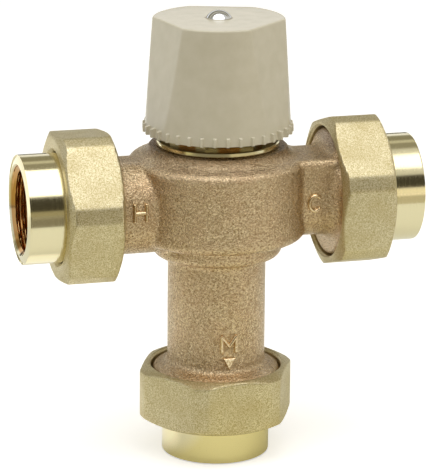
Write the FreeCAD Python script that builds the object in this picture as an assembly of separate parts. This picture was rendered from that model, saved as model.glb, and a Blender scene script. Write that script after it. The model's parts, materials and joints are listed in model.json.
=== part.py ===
import FreeCAD, Part
import math
import os

# Thermostatic mixing valve, cast bronze body with three union connections.
#
# Millimetres, +Z up. The origin is the centre of the outlet tailpiece's end face, which the
# valve stands on. Hot water enters from -X, cold from +X, mixed water leaves downwards.
# Under the knob, a spindle drives a screw that raises or lowers the wax element and its shuttle
# between a hot seat in the body and a cold seat under the bonnet.

V = FreeCAD.Vector

# ---- Ports -------------------------------------------------------------------------------------------
PORT_REACH = 60.6         # valve axis to the end face of an inlet tailpiece
INLET_HEIGHT = 79.1       # outlet end face to the inlet axis

# ---- Unions: lengths run inwards from the tailpiece's end face ---------------------------------------
TAIL_R = 16.3             # outside of the tailpiece
TAIL_EDGE = 0.7
TAIL_FREE = 10.8          # tailpiece that stands clear of its nut
TAP_R = 11.9              # pipe thread, at its tapping size
TAP_DEPTH = 14.0
MOUTH_R = 13.6            # chamfer that leads into the pipe thread
TAIL_WAY_R = 9.6          # waterway behind the thread
SHOULDER_R = 19.1
SHOULDER_T = 3.2
GASKET_T = 1.6
GASKET_R = 18.8
GASKET_HOLE_R = 10.9
BOSS_R = 19.45            # male union thread on the casting, at its crests
BOSS_LENGTH = 8.4
BOSS_EDGE = 0.6
BOSS_BACK_R = 18.4        # the back edge of the boss, just inside the nut
FLANK_FILLET = 0.85       # root fillet of the inlet bosses, as a part of their step from the flank
OUTLET_FLARE = 1.9
OUTLET_FLARE_R = 13.9
UNION_CLEAR = 0.3         # radial room round the threads and the tailpiece
NUT_AF = 43.3
NUT_CORNERS = 47.3        # across the cut-off corners
NUT_LIP = 3.0
NUT_MOUTH = 1.0           # countersink round the tailpiece
NUT_LEAD = 0.8            # bevel that leads the boss in
NUT_OVERHANG = 0.6        # nut beyond the root of the boss
NUT_CHAMFER_R = 20.7      # circle where the end chamfers start
NUT_CHAMFER = 1.3         # height of an end chamfer at the corners
MIXED_NUT_TURN = 64.4     # where each nut came to rest, degrees round its own axis
HOT_NUT_TURN = 23.3
COLD_NUT_TURN = 48.7

# ---- Casting -----------------------------------------------------------------------------------------
DRUM_R = 26.6             # mixing chamber
DRUM_WALL = 3.2
DRUM_BELOW = 11.2         # inlet axis to the underside of the drum
DRUM_ABOVE = 12.5         # inlet axis to the rim
RIM_ROUND = 1.6
BELLY_ROUND = 2.6
NECK_R = 20.7
NECK_RISE = 4.2           # rim to the machined top of the neck
NECK_LAND = 0.9           # upright part of the neck
SHOULDER_TOP_R = 22.6     # where the sloping shoulder meets the neck
SHOULDER_RISE = 1.7
SHOULDER_ROUND = 1.4
STEP_R = 19.5             # ring under the drum
STEP_DROP = 5.8
STEP_ROUND = 2.6
STEP_FILLET = 1.0         # ring to drum
TUBE_R = 14.75            # outlet tube
TUBE_FILLET = 1.6
ARM_HALF_WIDTH = 15.0
ARM_ABOVE = 13.5          # inlet axis to the top of an arm
HOT_ARM_BELOW = 14.05
COLD_ARM_BELOW = 11.85
ARM_ROUND_BELOW = 11.0
ARM_ROUND_ABOVE = 12.5
COLD_ARM_EDGE = 1.8       # front edge of the cold arm, where it carries its mark
ARM_BLEND = 0.8           # fillet where an arm's flanks run into the drum
INDEX_TURN = -31.0        # cast pointer on the neck, degrees from +X
INDEX_WIDTH = 1.4
INDEX_HEIGHT = 1.6
INDEX_PROUD = 0.6
INDEX_BEVEL = 0.35

# ---- Mixing chamber ----------------------------------------------------------------------------------
WEB_RISE = 0.3            # inlet axis to the middle of the web between hot and cold
WEB_T = 2.4
ROOF_DROP = 2.8           # rim down to the chamber's roof
CORE_BEVEL = 1.0          # corners of the cast chambers
WINDOW_WIDTH = 15.0       # cast opening from each inlet pocket
WINDOW_SILL = 0.5
OUTLET_R = 10.8
SHUTTLE_R = 13.0
SHUTTLE_WALL = 1.8
SHUTTLE_LENGTH = 12.0
SHUTTLE_RISE = 0.6        # shuttle's middle above the web's middle
SHUTTLE_BELT = 0.8        # thickening inside the shuttle, behind its seal
BELT_REACH = 2.5          # belt above and below the web's middle
SHUTTLE_TRAVEL = 0.75     # each way
SEAT_CLEAR = 0.05         # left at the end of the travel
SEAT_PROUD = 0.9          # hot seat above the chamber's floor
SEAT_LAND = 0.6           # seat face beyond the shuttle's rim
SEAT_RING_R = 12.2
SEAT_RING_WALL = 1.8
SEAT_FLANGE_T = 1.9
SEAT_RING_DEPTH = 5.3
BORE_CLEAR = 0.3          # round the shuttle in the web
RING_CLEAR = 0.2
SPRING_LEDGE = 1.2
SPRING_LEDGE_R = 8.6
RETURN_SPRING_R = 9.4
RETURN_WIRE_R = 0.5
RETURN_TURNS = 4.5

# ---- O-rings: each lies in a groove and reaches to the wall that it seals ----------------------------
SHUTTLE_GROOVE = 1.2      # depths of the grooves
SEAT_GROOVE = 1.0
BONNET_GROOVE = 1.5
STEM_GROOVE = 0.9
CHECK_GROOVE = 0.9
SEAL_PLAY = 0.03          # round a seal in its groove
SEAL_SLIDE = 0.12         # between a moving seal and its wall
BONNET_GROOVE_DOWN = 1.9  # top of the neck to the middle of the bonnet's groove

# ---- Wax element -------------------------------------------------------------------------------------
HUB_RISE = 0.2            # web's middle to the hub's upper face
HUB_T = 2.0               # spider hub that holds the element
HUB_WALL = 1.9
SPOKE_WIDTH = 3.0
SPOKE_COUNT = 4
CAPSULE_R = 6.0
CAPSULE_LENGTH = 19.0
CAPSULE_BEVEL = 1.6
ELEMENT_FLANGE_R = 7.6
ELEMENT_FLANGE_T = 1.5
GUIDE_R = 4.4
GUIDE_FLARE = 1.6
GUIDE_GAP = 0.45          # guide to thrust cup when they are closest
ROD_R = 2.0
ROD_CLEAR = 0.15
ROD_ENGAGED = 6.5         # rod held in the guide at rest
ROD_SPARE = 2.0           # bore left below the rod at the end of the travel

# ---- Adjuster ----------------------------------------------------------------------------------------
SCREW_LEAD = 3.0          # left-hand, so that a turn to the left makes warmer
KNOB_SWEEP = 150.0        # each way, degrees
ADJUST_TRAVEL = SCREW_LEAD * KNOB_SWEEP / 360
CARRIER_R = 10.3
CARRIER_WALL = 2.9
CARRIER_THREAD = 7.0
CARRIER_CLEAR = 0.3
CLIP_LAND = 0.5           # carrier below its clip's groove
CLIP_T = 0.9
CLIP_BITE = 0.5           # clip into the carrier's wall
CLIP_LIP = 1.6            # clip inside the carrier's bore
CLIP_MOUTH = 2.4
CLIP_CLEAR = 0.05
CUP_CLEAR = 0.4
CUP_T = 2.0
CUP_HUB_R = 3.6
CUP_HUB_T = 2.0
OVERTRAVEL = 2.0          # how far the cup can be pushed into the carrier
SPRING_ROOM = 5.9         # between the cup's flange and the carrier
OVERTRAVEL_SPRING_R = 5.7
OVERTRAVEL_WIRE_R = 0.55
OVERTRAVEL_TURNS = 2.5
SCREW_R = 5.0
SCREW_CLEAR = 0.15
SCREW_GAP = 0.3           # screw's end above the cup at its highest
KEY_WIDTH = 3.0           # ribs in the bonnet that keep the carrier from turning
KEY_DEPTH = 1.4
FLANGE_ROOM = 0.7         # spindle flange inside the bonnet's bore
SPINDLE_FLANGE_T = 2.4
SPINDLE_FLANGE_GAP = 1.2
WASHER_T = 0.5
STEM_R = 4.0
STEM_CLEAR = 0.15
STEM_CLIP_T = 0.8
STEM_CLIP_R = 6.2
STEM_CLIP_GAP = 0.25      # above the bonnet's boss
STEM_CLIP_BITE = 0.5
STEM_CLIP_MOUTH = 6.4
STEM_CLIP_TURN = 200.0

# ---- Bonnet ------------------------------------------------------------------------------------------
BONNET_THREAD_R = 17.3
NECK_CLEAR = 0.2
COLLAR_R = 18.46
COLLAR_T = 1.6
NOSE_SHOULDER = 1.4       # chamber roof up to the bonnet's thread
HEX_AF = 25.4
HEX_T = 6.0
HUB_R = 12.8
BONNET_ROOF_T = 3.0
STEM_BOSS_R = 7.5
STEM_BOSS_T = 5.0

# ---- Knob --------------------------------------------------------------------------------------------
KNOB_GAP = 2.55           # collar to the knob's rim
KNOB_HEIGHT = 33.95
KNOB_BASE_R = 21.75
KNOB_FOOT = 1.2           # upright part of the rim
KNOB_TOP_R = 19.6
KNOB_EDGE = 0.9
FLAT_TOP = 17.0           # axis to a finger flat, at the knob's top
FLAT_RUN_OUT = 0.11       # a finger flat's plane beyond the cone, at the rim
FLAT_COUNT = 3
FLAT_TURN = 72.2          # first flat, degrees from +X
RIB_COUNT = 36
RIB_TURN = 2.4
RIB_HEIGHT = 2.7
RIB_WIDTH = 1.0
RIB_PROUD = 0.75
RIB_BEVEL = 0.35
KNOB_WALL = 1.9
KNOB_ROOF_T = 2.6
KNOB_HUB_R = 6.6
KNOB_HUB_DEPTH = 11.0
KNOB_WEB_COUNT = 6
KNOB_WEB_T = 1.4
KNOB_WEB_RISE = 3.0       # webs above the end of the hub
SPLINE_COUNT = 18
SPLINE_DEPTH = 0.35
SPLINE_CLEAR = 0.1
CAP_SCREW_R = 1.6
CAP_SCREW_LENGTH = 8.0
CAP_HEAD_R = 3.75
CAP_HEAD_EDGE = 0.5       # upright edge of the domed head
CAP_HEAD_RISE = 2.6
CAP_RECESS = 0.35
CAP_CLEAR = 0.25

# ---- Check valves: lengths run inwards from the boss's end face --------------------------------------
POCKET_R = 9.5
STEM_ROOM = 0.4           # pocket's end beyond the open poppet's stem
HOUSING_CLEAR = 0.3
HOUSING_FLANGE_R = 11.8
HOUSING_FLANGE_T = 1.0
HOUSING_LENGTH = 12.4
HOUSING_WALL = 1.2
CHECK_SEAT_R = 6.0
CHECK_SEAT_AT = 1.2       # start of the conical seat
CHECK_SEAT_CONE = 1.6
CHECK_OPEN = 2.5          # lift
DISC_R = 7.0
DISC_T = 1.8
DISC_CLEAR = 0.3          # between the disc's cone and the seat
CHECK_SEAL_PROUD = 0.2
CHECK_STEM_R = 1.2
CHECK_HUB_R = 3.4
CHECK_HUB_T = 2.0
CHECK_LEG_COUNT = 3
CHECK_LEG_WIDTH = 1.8
CHECK_LEG_SET = 0.2       # legs below the hub's face
CHECK_SPRING_R = 2.9
CHECK_WIRE_R = 0.3
CHECK_TURNS = 4.0
STEM_STUB = 0.4           # poppet stem beyond its hub at rest

# ---- Strainers ---------------------------------------------------------------------------------------
SCREEN_T = 0.5
SCREEN_FLANGE_R = 10.6
SCREEN_R = 9.0
SCREEN_DOME = 2.3

CUT = 1.0                 # how far a cutter runs past the face it opens
LAP = 0.5                 # how far two shapes of one piece reach into each other
BREAK = 0.3               # bevel on machined edges
PARTS = "parts"

# ---- Places along a union, from the tailpiece's end face ---------------------------------------------
NUT_FACE = TAIL_FREE
SHOULDER_OUT = NUT_FACE + NUT_LIP
SHOULDER_IN = SHOULDER_OUT + SHOULDER_T
BOSS_FACE = SHOULDER_IN + GASKET_T
BOSS_ROOT = BOSS_FACE + BOSS_LENGTH
NUT_END = BOSS_ROOT + NUT_OVERHANG
NUT_BORE_R = BOSS_R + UNION_CLEAR
LIP_R = TAIL_R + UNION_CLEAR
POCKET_DEPTH = HOUSING_LENGTH + STEM_STUB + CHECK_OPEN + STEM_ROOM
POCKET_END = PORT_REACH - BOSS_FACE - POCKET_DEPTH
HOUSING_R = POCKET_R - HOUSING_CLEAR
HOUSING_BORE_R = HOUSING_R - HOUSING_WALL
SEAT_SLOPE = CHECK_SEAT_CONE / (HOUSING_BORE_R - CHECK_SEAT_R)
DISC_NOSE = BOSS_FACE + CHECK_SEAT_AT + DISC_CLEAR * math.hypot(1, SEAT_SLOPE)
DISC_EDGE = DISC_NOSE + SEAT_SLOPE * (DISC_R - CHECK_SEAT_R)
DISC_BACK = DISC_EDGE + DISC_T
DISC_MIDDLE = DISC_EDGE + DISC_T / 2
HOUSING_END = BOSS_FACE + HOUSING_LENGTH

# ---- Heights on the valve axis -----------------------------------------------------------------------
DRUM_BOTTOM = INLET_HEIGHT - DRUM_BELOW
DRUM_TOP = INLET_HEIGHT + DRUM_ABOVE
STEP_BOTTOM = DRUM_BOTTOM - STEP_DROP
NECK_TOP = DRUM_TOP + NECK_RISE
CHAMBER_R = DRUM_R - DRUM_WALL
COLD_ROOF = DRUM_TOP - ROOF_DROP
WEB_MID = INLET_HEIGHT + WEB_RISE
WEB_BOTTOM = WEB_MID - WEB_T / 2
WEB_TOP = WEB_MID + WEB_T / 2
SHUTTLE_BOTTOM = WEB_MID + SHUTTLE_RISE - SHUTTLE_LENGTH / 2
SHUTTLE_TOP = SHUTTLE_BOTTOM + SHUTTLE_LENGTH
SHUTTLE_BORE_R = SHUTTLE_R - SHUTTLE_WALL
HOT_SEAT = SHUTTLE_BOTTOM - SHUTTLE_TRAVEL - SEAT_CLEAR
COLD_SEAT = SHUTTLE_TOP + SHUTTLE_TRAVEL + SEAT_CLEAR
HOT_FLOOR = HOT_SEAT - SEAT_PROUD
SEAT_LEDGE = HOT_SEAT - SEAT_FLANGE_T
SEAT_RING_BOTTOM = SEAT_LEDGE - SEAT_RING_DEPTH
SEAT_RING_MIDDLE = SEAT_RING_BOTTOM + SEAT_RING_DEPTH / 2
SEAT_R = SHUTTLE_R + SEAT_LAND

HUB_TOP = WEB_MID + HUB_RISE
HUB_BOTTOM = HUB_TOP - HUB_T
CARRIER_BOTTOM = COLD_SEAT + ADJUST_TRAVEL
CLIP_BOTTOM = CARRIER_BOTTOM + CLIP_LAND
CLIP_TOP = CLIP_BOTTOM + CLIP_T
CUP_BOTTOM = CLIP_TOP + CLIP_CLEAR
CUP_FLANGE_TOP = CUP_BOTTOM + CUP_T
CARRIER_ROOF = CUP_FLANGE_TOP + SPRING_ROOM
CARRIER_TOP = CARRIER_ROOF + CARRIER_THREAD
CARRIER_BORE_R = CARRIER_R - CARRIER_WALL
CUP_R = CARRIER_BORE_R - CUP_CLEAR
GUIDE_TOP = CUP_BOTTOM - ADJUST_TRAVEL - SHUTTLE_TRAVEL - GUIDE_GAP
ROD_BOTTOM = GUIDE_TOP - ROD_ENGAGED
ROD_TOP = CUP_FLANGE_TOP
ROD_BORE_BOTTOM = ROD_BOTTOM - ADJUST_TRAVEL - SHUTTLE_TRAVEL - ROD_SPARE
FLANGE_BOTTOM = CARRIER_TOP + ADJUST_TRAVEL + SPINDLE_FLANGE_GAP
FLANGE_TOP = FLANGE_BOTTOM + SPINDLE_FLANGE_T
FLANGE_R = CARRIER_R - FLANGE_ROOM
BONNET_ROOF = FLANGE_TOP + WASHER_T + CLIP_CLEAR
BONNET_TOP = BONNET_ROOF + BONNET_ROOF_T
STEM_BOSS_TOP = BONNET_TOP + STEM_BOSS_T
STEM_GROOVE_MIDDLE = (BONNET_ROOF + STEM_BOSS_TOP) / 2
STEM_HOLE_R = STEM_R + STEM_CLEAR
STEM_CLIP_BOTTOM = STEM_BOSS_TOP + STEM_CLIP_GAP
STEM_CLIP_TOP = STEM_CLIP_BOTTOM + STEM_CLIP_T
BONNET_BORE_R = CARRIER_R + CARRIER_CLEAR
NECK_BORE_R = BONNET_THREAD_R + NECK_CLEAR
BONNET_GROOVE_MIDDLE = NECK_TOP - BONNET_GROOVE_DOWN
COLLAR_TOP = NECK_TOP + COLLAR_T
KNOB_RIM = COLLAR_TOP + KNOB_GAP
KNOB_TOP = KNOB_RIM + KNOB_HEIGHT
KNOB_ROOF = KNOB_TOP - KNOB_ROOF_T
KNOB_HUB_BOTTOM = KNOB_ROOF - KNOB_HUB_DEPTH
SPINDLE_TOP = KNOB_ROOF - SPLINE_CLEAR
CAP_SEAT = KNOB_TOP - CAP_RECESS


def outline(points):
    """A closed face in the XZ plane. Each point is (x, z), (x, z, radius) to round that corner,
    or (x, z, -run) to bevel it."""
    corners = [V(p[0], 0, p[1]) for p in points]
    breaks = [p[2] if len(p) > 2 else 0 for p in points]
    arcs = []
    for i, corner in enumerate(corners):
        before = corners[i - 1] - corner
        after = corners[(i + 1) % len(corners)] - corner
        if breaks[i] == 0:
            arcs.append((corner, None, corner))
            continue
        half = before.getAngle(after) / 2
        room = 0.49 * min(before.Length, after.Length)
        wanted = breaks[i] / math.tan(half) if breaks[i] > 0 else -breaks[i]
        run = min(wanted, room)
        before.normalize()
        after.normalize()
        crown = None
        if breaks[i] > 0:
            middle = before + after
            middle.normalize()
            radius = run * math.tan(half)
            crown = corner + middle * (radius / math.sin(half) - radius)
        arcs.append((corner + before * run, crown, corner + after * run))
    edges = []
    for i, (start, crown, end) in enumerate(arcs):
        if crown is not None:
            edges.append(Part.Arc(start, crown, end).toShape())
        elif (end - start).Length > 0:
            edges.append(Part.makeLine(start, end))
        following = arcs[(i + 1) % len(arcs)][0]
        if (following - end).Length > 1e-6:
            edges.append(Part.makeLine(end, following))
    return Part.Face(Part.Wire(edges))


def turned(points):
    """The outline (radius, height) turned about Z."""
    return outline(points).revolve(V(0, 0, 0), V(0, 0, 1), 360)


def rod(radius, bottom, top):
    return Part.makeCylinder(radius, top - bottom, V(0, 0, bottom))


def ring(outer, inner, bottom, top):
    return rod(outer, bottom, top).cut(rod(inner, bottom - CUT, top + CUT))


def block(x0, x1, y0, y1, z0, z1):
    return Part.makeBox(x1 - x0, y1 - y0, z1 - z0, V(x0, y0, z0))


def hexagon(across_flats, bottom, top):
    """Hexagonal prism with one corner on +X."""
    corner = across_flats / math.sqrt(3)
    angles = [math.radians(60 * i) for i in range(7)]
    points = [V(corner * math.cos(a), corner * math.sin(a), bottom) for a in angles]
    return Part.Face(Part.makePolygon(points)).extrude(V(0, 0, top - bottom))


def spun(shape, degrees):
    """A copy turned about Z."""
    copy = shape.copy()
    copy.rotate(V(0, 0, 0), V(0, 0, 1), degrees)
    return copy


def around(shape, count, first=0.0):
    """Copies of the shape, evenly spaced about Z."""
    return [spun(shape, first + 360.0 * i / count) for i in range(count)]


def coil(radius, wire_r, bottom, top, turns, sides):
    """A compression spring between two planes, of wire with a many-sided section."""
    rise = top - bottom - 2 * wire_r
    helix = Part.makeHelix(rise / turns, rise, radius)
    angles = [2 * math.pi * i / sides for i in range(sides + 1)]
    section = [V(radius + wire_r * math.cos(a), 0, wire_r * math.sin(a)) for a in angles]
    spring = Part.Wire(helix.Edges).makePipeShell([Part.makePolygon(section)], True, True)
    spring.translate(V(0, 0, bottom + wire_r))
    return spring


def seal(inner, outer, height):
    """O-ring squeezed between two radii: an eight-sided section turned about Z."""
    low = inner + SEAL_PLAY
    high = outer - SEAL_PLAY
    half = (high - low) / 2
    bevel = half * (2 - math.sqrt(2))
    return turned([
        (low, height - half, -bevel), (high, height - half, -bevel),
        (high, height + half, -bevel), (low, height + half, -bevel),
    ])


def groove(radius, depth, middle, reach=0.0):
    """Corners of a seal's groove in a profile that runs upwards: deep enough for the depth, and
    wide enough for a seal that stands out of it by the reach."""
    half = (depth + reach) / 2 + SEAL_PLAY
    return [
        (radius, middle - half), (radius - depth, middle - half),
        (radius - depth, middle + half), (radius, middle + half),
    ]


# ---- The ports: union pieces are drawn on Z, end face at 0, and then carried to their port -----------

def to_outlet(shape):
    return shape


def to_hot(shape):
    copy = shape.copy()
    copy.rotate(V(0, 0, 0), V(0, 1, 0), 90)
    copy.translate(V(-PORT_REACH, 0, INLET_HEIGHT))
    return copy


def to_cold(shape):
    copy = shape.copy()
    copy.rotate(V(0, 0, 0), V(0, 1, 0), -90)
    copy.translate(V(PORT_REACH, 0, INLET_HEIGHT))
    return copy


# ---- Unions ------------------------------------------------------------------------------------------

def tailpiece():
    step = (TAP_R - TAIL_WAY_R) / 2
    return turned([
        (MOUTH_R, 0), (TAIL_R, 0, TAIL_EDGE), (TAIL_R, SHOULDER_OUT), (SHOULDER_R, SHOULDER_OUT),
        (SHOULDER_R, SHOULDER_IN, -BREAK), (TAIL_WAY_R, SHOULDER_IN),
        (TAIL_WAY_R, TAP_DEPTH + step), (TAP_R, TAP_DEPTH), (TAP_R, MOUTH_R - TAP_R),
    ])


def gasket():
    return ring(GASKET_R, GASKET_HOLE_R, SHOULDER_IN, BOSS_FACE)


def union_nut(turn):
    """Hexagon nut with cut-off corners, chamfered at both ends, with a lip that holds the tailpiece."""
    slope = NUT_CHAMFER / (NUT_CORNERS / 2 - NUT_CHAMFER_R)
    beyond = NUT_CORNERS / 2 + CUT
    rise = slope * (beyond - NUT_CHAMFER_R)
    chamfered = turned([
        (0, NUT_FACE), (NUT_CHAMFER_R, NUT_FACE), (beyond, NUT_FACE + rise),
        (beyond, NUT_END - rise), (NUT_CHAMFER_R, NUT_END), (0, NUT_END),
    ])
    bore = turned([
        (0, NUT_FACE - CUT), (LIP_R + NUT_MOUTH + CUT, NUT_FACE - CUT), (LIP_R, NUT_FACE + NUT_MOUTH),
        (LIP_R, SHOULDER_OUT), (NUT_BORE_R, SHOULDER_OUT), (NUT_BORE_R, NUT_END - NUT_LEAD),
        (NUT_BORE_R + NUT_LEAD + CUT, NUT_END + CUT), (0, NUT_END + CUT),
    ])
    corners = spun(hexagon(NUT_CORNERS, NUT_FACE, NUT_END), 30)
    prism = hexagon(NUT_AF, NUT_FACE, NUT_END).common(corners).common(chamfered)
    return spun(prism.cut(bore), turn)


def screen():
    """Strainer: a flat rim clamped by the gasket and a dome that stands into the tailpiece."""
    rim = SHOULDER_IN
    dome_r = (SCREEN_R ** 2 + SCREEN_DOME ** 2) / (2 * SCREEN_DOME)
    centre = rim - SCREEN_DOME + dome_r
    shell = Part.makeSphere(dome_r, V(0, 0, centre)).cut(
        Part.makeSphere(dome_r - SCREEN_T, V(0, 0, centre)))
    dome = shell.common(rod(SCREEN_R, rim - SCREEN_DOME - CUT, rim + SCREEN_T / 2))
    return dome.fuse(ring(SCREEN_FLANGE_R, SCREEN_R - SCREEN_T, rim, rim + SCREEN_T))


# ---- Check valves ------------------------------------------------------------------------------------

def check_housing():
    flange_back = BOSS_FACE + HOUSING_FLANGE_T
    seat = BOSS_FACE + CHECK_SEAT_AT
    shell = turned([
        (CHECK_SEAT_R, BOSS_FACE), (HOUSING_FLANGE_R, BOSS_FACE), (HOUSING_FLANGE_R, flange_back),
        (HOUSING_R, flange_back), (HOUSING_R, HOUSING_END, -BREAK), (HOUSING_BORE_R, HOUSING_END),
        (HOUSING_BORE_R, seat + CHECK_SEAT_CONE), (CHECK_SEAT_R, seat),
    ])
    hub_face = HOUSING_END - CHECK_HUB_T
    leg = block(CHECK_HUB_R - LAP, HOUSING_BORE_R + LAP, -CHECK_LEG_WIDTH / 2, CHECK_LEG_WIDTH / 2,
                hub_face, HOUSING_END - CHECK_LEG_SET)
    hub = ring(CHECK_HUB_R, CHECK_STEM_R + ROD_CLEAR, hub_face, HOUSING_END)
    return shell.fuse(around(leg, CHECK_LEG_COUNT) + [hub]).removeSplitter()


def check_poppet():
    stem_end = HOUSING_END + STEM_STUB
    return turned(
        [(0, DISC_NOSE), (CHECK_SEAT_R, DISC_NOSE), (DISC_R, DISC_EDGE)]
        + groove(DISC_R, CHECK_GROOVE, DISC_MIDDLE, CHECK_SEAL_PROUD)
        + [(DISC_R, DISC_BACK), (CHECK_STEM_R, DISC_BACK), (CHECK_STEM_R, stem_end, -BREAK),
           (0, stem_end)])


def check_seal():
    return seal(DISC_R - CHECK_GROOVE, DISC_R + CHECK_SEAL_PROUD, DISC_MIDDLE)


def check_spring():
    return coil(CHECK_SPRING_R, CHECK_WIRE_R, DISC_BACK, HOUSING_END - CHECK_HUB_T, CHECK_TURNS, 4)


# ---- Casting -----------------------------------------------------------------------------------------

def boss(back):
    """Threaded end of the casting, along Z from the gasket face, closed by the corners of its back."""
    return turned([
        (0, BOSS_FACE), (BOSS_R, BOSS_FACE, -BOSS_EDGE), (BOSS_R, BOSS_ROOT - BOSS_EDGE),
        (BOSS_BACK_R, BOSS_ROOT - BOSS_EDGE), (BOSS_BACK_R, BOSS_ROOT),
    ] + back)


def arm(side, below, front_edge):
    """An inlet arm, from the valve axis to the root of its boss: an arch with flat flanks."""
    half = ARM_HALF_WIDTH
    low = INLET_HEIGHT - below
    high = INLET_HEIGHT + ARM_ABOVE
    section = outline([
        (-half, low, ARM_ROUND_BELOW), (half, low, ARM_ROUND_BELOW),
        (half, high, ARM_ROUND_ABOVE), (-half, high, front_edge),
    ])
    section.rotate(V(0, 0, 0), V(0, 0, 1), 90)
    return section.extrude(V(side * (PORT_REACH - BOSS_ROOT + LAP), 0, 0))


def valve_body():
    trunk = turned([
        (0, BOSS_ROOT), (TUBE_R, BOSS_ROOT), (TUBE_R, STEP_BOTTOM, TUBE_FILLET),
        (STEP_R, STEP_BOTTOM, STEP_ROUND), (STEP_R, DRUM_BOTTOM, STEP_FILLET),
        (DRUM_R, DRUM_BOTTOM, BELLY_ROUND), (DRUM_R, DRUM_TOP, RIM_ROUND),
        (SHOULDER_TOP_R, DRUM_TOP + SHOULDER_RISE, SHOULDER_ROUND), (NECK_R, NECK_TOP - NECK_LAND),
        (NECK_R, NECK_TOP), (0, NECK_TOP),
    ])
    solid = trunk.fuse([
        arm(-1, HOT_ARM_BELOW, ARM_ROUND_ABOVE), arm(1, COLD_ARM_BELOW, COLD_ARM_EDGE)])
    solid = solid.makeFillet(ARM_BLEND, [e for e in solid.Edges if is_arm_crease(e)])
    inlet_boss = boss([(0, BOSS_ROOT)])
    solid = solid.fuse([to_hot(inlet_boss), to_cold(inlet_boss)])
    room = (PORT_REACH - BOSS_ROOT - DRUM_R) / 2
    fillet = min(FLANK_FILLET * (BOSS_BACK_R - ARM_HALF_WIDTH), room)
    solid = solid.makeFillet(fillet, [e for e in solid.Edges if is_boss_crease(e)])
    outlet_back = BOSS_ROOT + OUTLET_FLARE
    outlet_boss = boss([(OUTLET_FLARE_R, outlet_back), (0, outlet_back)])
    solid = solid.fuse([to_outlet(outlet_boss), index_mark()])
    return solid.removeSplitter().cut([waterway(), inlet_way(-1), inlet_way(1)])


def is_arm_crease(edge):
    """The upright edges where an arm's flank meets the drum."""
    ends = [v.Point for v in edge.Vertexes]
    if len(ends) != 2 or abs(ends[0].z - ends[1].z) < DRUM_BELOW / 2:
        return False
    meets = math.sqrt(DRUM_R ** 2 - ARM_HALF_WIDTH ** 2)
    return all(abs(abs(p.x) - meets) < 0.01 and abs(abs(p.y) - ARM_HALF_WIDTH) < 0.01 for p in ends)


def is_boss_crease(edge):
    """The edges where an arm runs into the back of its boss."""
    back = PORT_REACH - BOSS_ROOT
    flat = all(abs(abs(v.Point.x) - back) < 0.01 for v in edge.Vertexes)
    middle = edge.valueAt((edge.FirstParameter + edge.LastParameter) / 2)
    off_axis = math.hypot(middle.y, middle.z - INLET_HEIGHT)
    return flat and abs(abs(middle.x) - back) < 0.01 and off_axis < BOSS_BACK_R - BOSS_EDGE / 2


def index_mark():
    """Cast pointer on the edge of the neck, which the knob's position is read against."""
    out = NECK_R + INDEX_PROUD
    mark = block(NECK_R - LAP, out, -INDEX_WIDTH / 2, INDEX_WIDTH / 2,
                 NECK_TOP - INDEX_HEIGHT, NECK_TOP)
    outer = [e for e in mark.Edges if all(v.Point.x > out - LAP for v in e.Vertexes)]
    return spun(mark.makeChamfer(INDEX_BEVEL, outer), INDEX_TURN)


def waterway():
    """Outlet bore, seat pocket, hot chamber, web bore, cold chamber and neck, turned in one."""
    pocket_r = SEAT_RING_R + RING_CLEAR
    flange_r = SEAT_R + RING_CLEAR
    web_r = SHUTTLE_R + BORE_CLEAR
    return turned([
        (0, BOSS_FACE - CUT), (OUTLET_R, BOSS_FACE - CUT), (OUTLET_R, SEAT_RING_BOTTOM),
        (pocket_r, SEAT_RING_BOTTOM), (pocket_r, SEAT_LEDGE), (flange_r, SEAT_LEDGE),
        (flange_r, HOT_FLOOR), (CHAMBER_R, HOT_FLOOR, -CORE_BEVEL),
        (CHAMBER_R, WEB_BOTTOM, -CORE_BEVEL), (web_r, WEB_BOTTOM), (web_r, WEB_TOP),
        (CHAMBER_R, WEB_TOP, -CORE_BEVEL),
        (CHAMBER_R, COLD_ROOF, -CORE_BEVEL), (NECK_BORE_R, COLD_ROOF),
        (NECK_BORE_R, NECK_TOP + CUT), (0, NECK_TOP + CUT),
    ])


def inlet_way(side):
    """Pocket for a check valve, and the cast window from it: hot below the web, cold above."""
    flange_back = BOSS_FACE + HOUSING_FLANGE_T
    flange_r = HOUSING_FLANGE_R + RING_CLEAR
    pocket = turned([
        (0, BOSS_FACE - CUT), (flange_r, BOSS_FACE - CUT), (flange_r, flange_back),
        (POCKET_R, flange_back), (POCKET_R, BOSS_FACE + POCKET_DEPTH), (0, BOSS_FACE + POCKET_DEPTH),
    ])
    inner = CHAMBER_R / 2
    outer = POCKET_END + CUT
    half = WINDOW_WIDTH / 2
    if side < 0:
        window = block(-outer, -inner, -half, half, HOT_FLOOR + WINDOW_SILL, WEB_BOTTOM)
        return to_hot(pocket).fuse(window)
    window = block(inner, outer, -half, half, WEB_TOP, COLD_ROOF - WINDOW_SILL)
    return to_cold(pocket).fuse(window)


# ---- Bonnet ------------------------------------------------------------------------------------------

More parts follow.
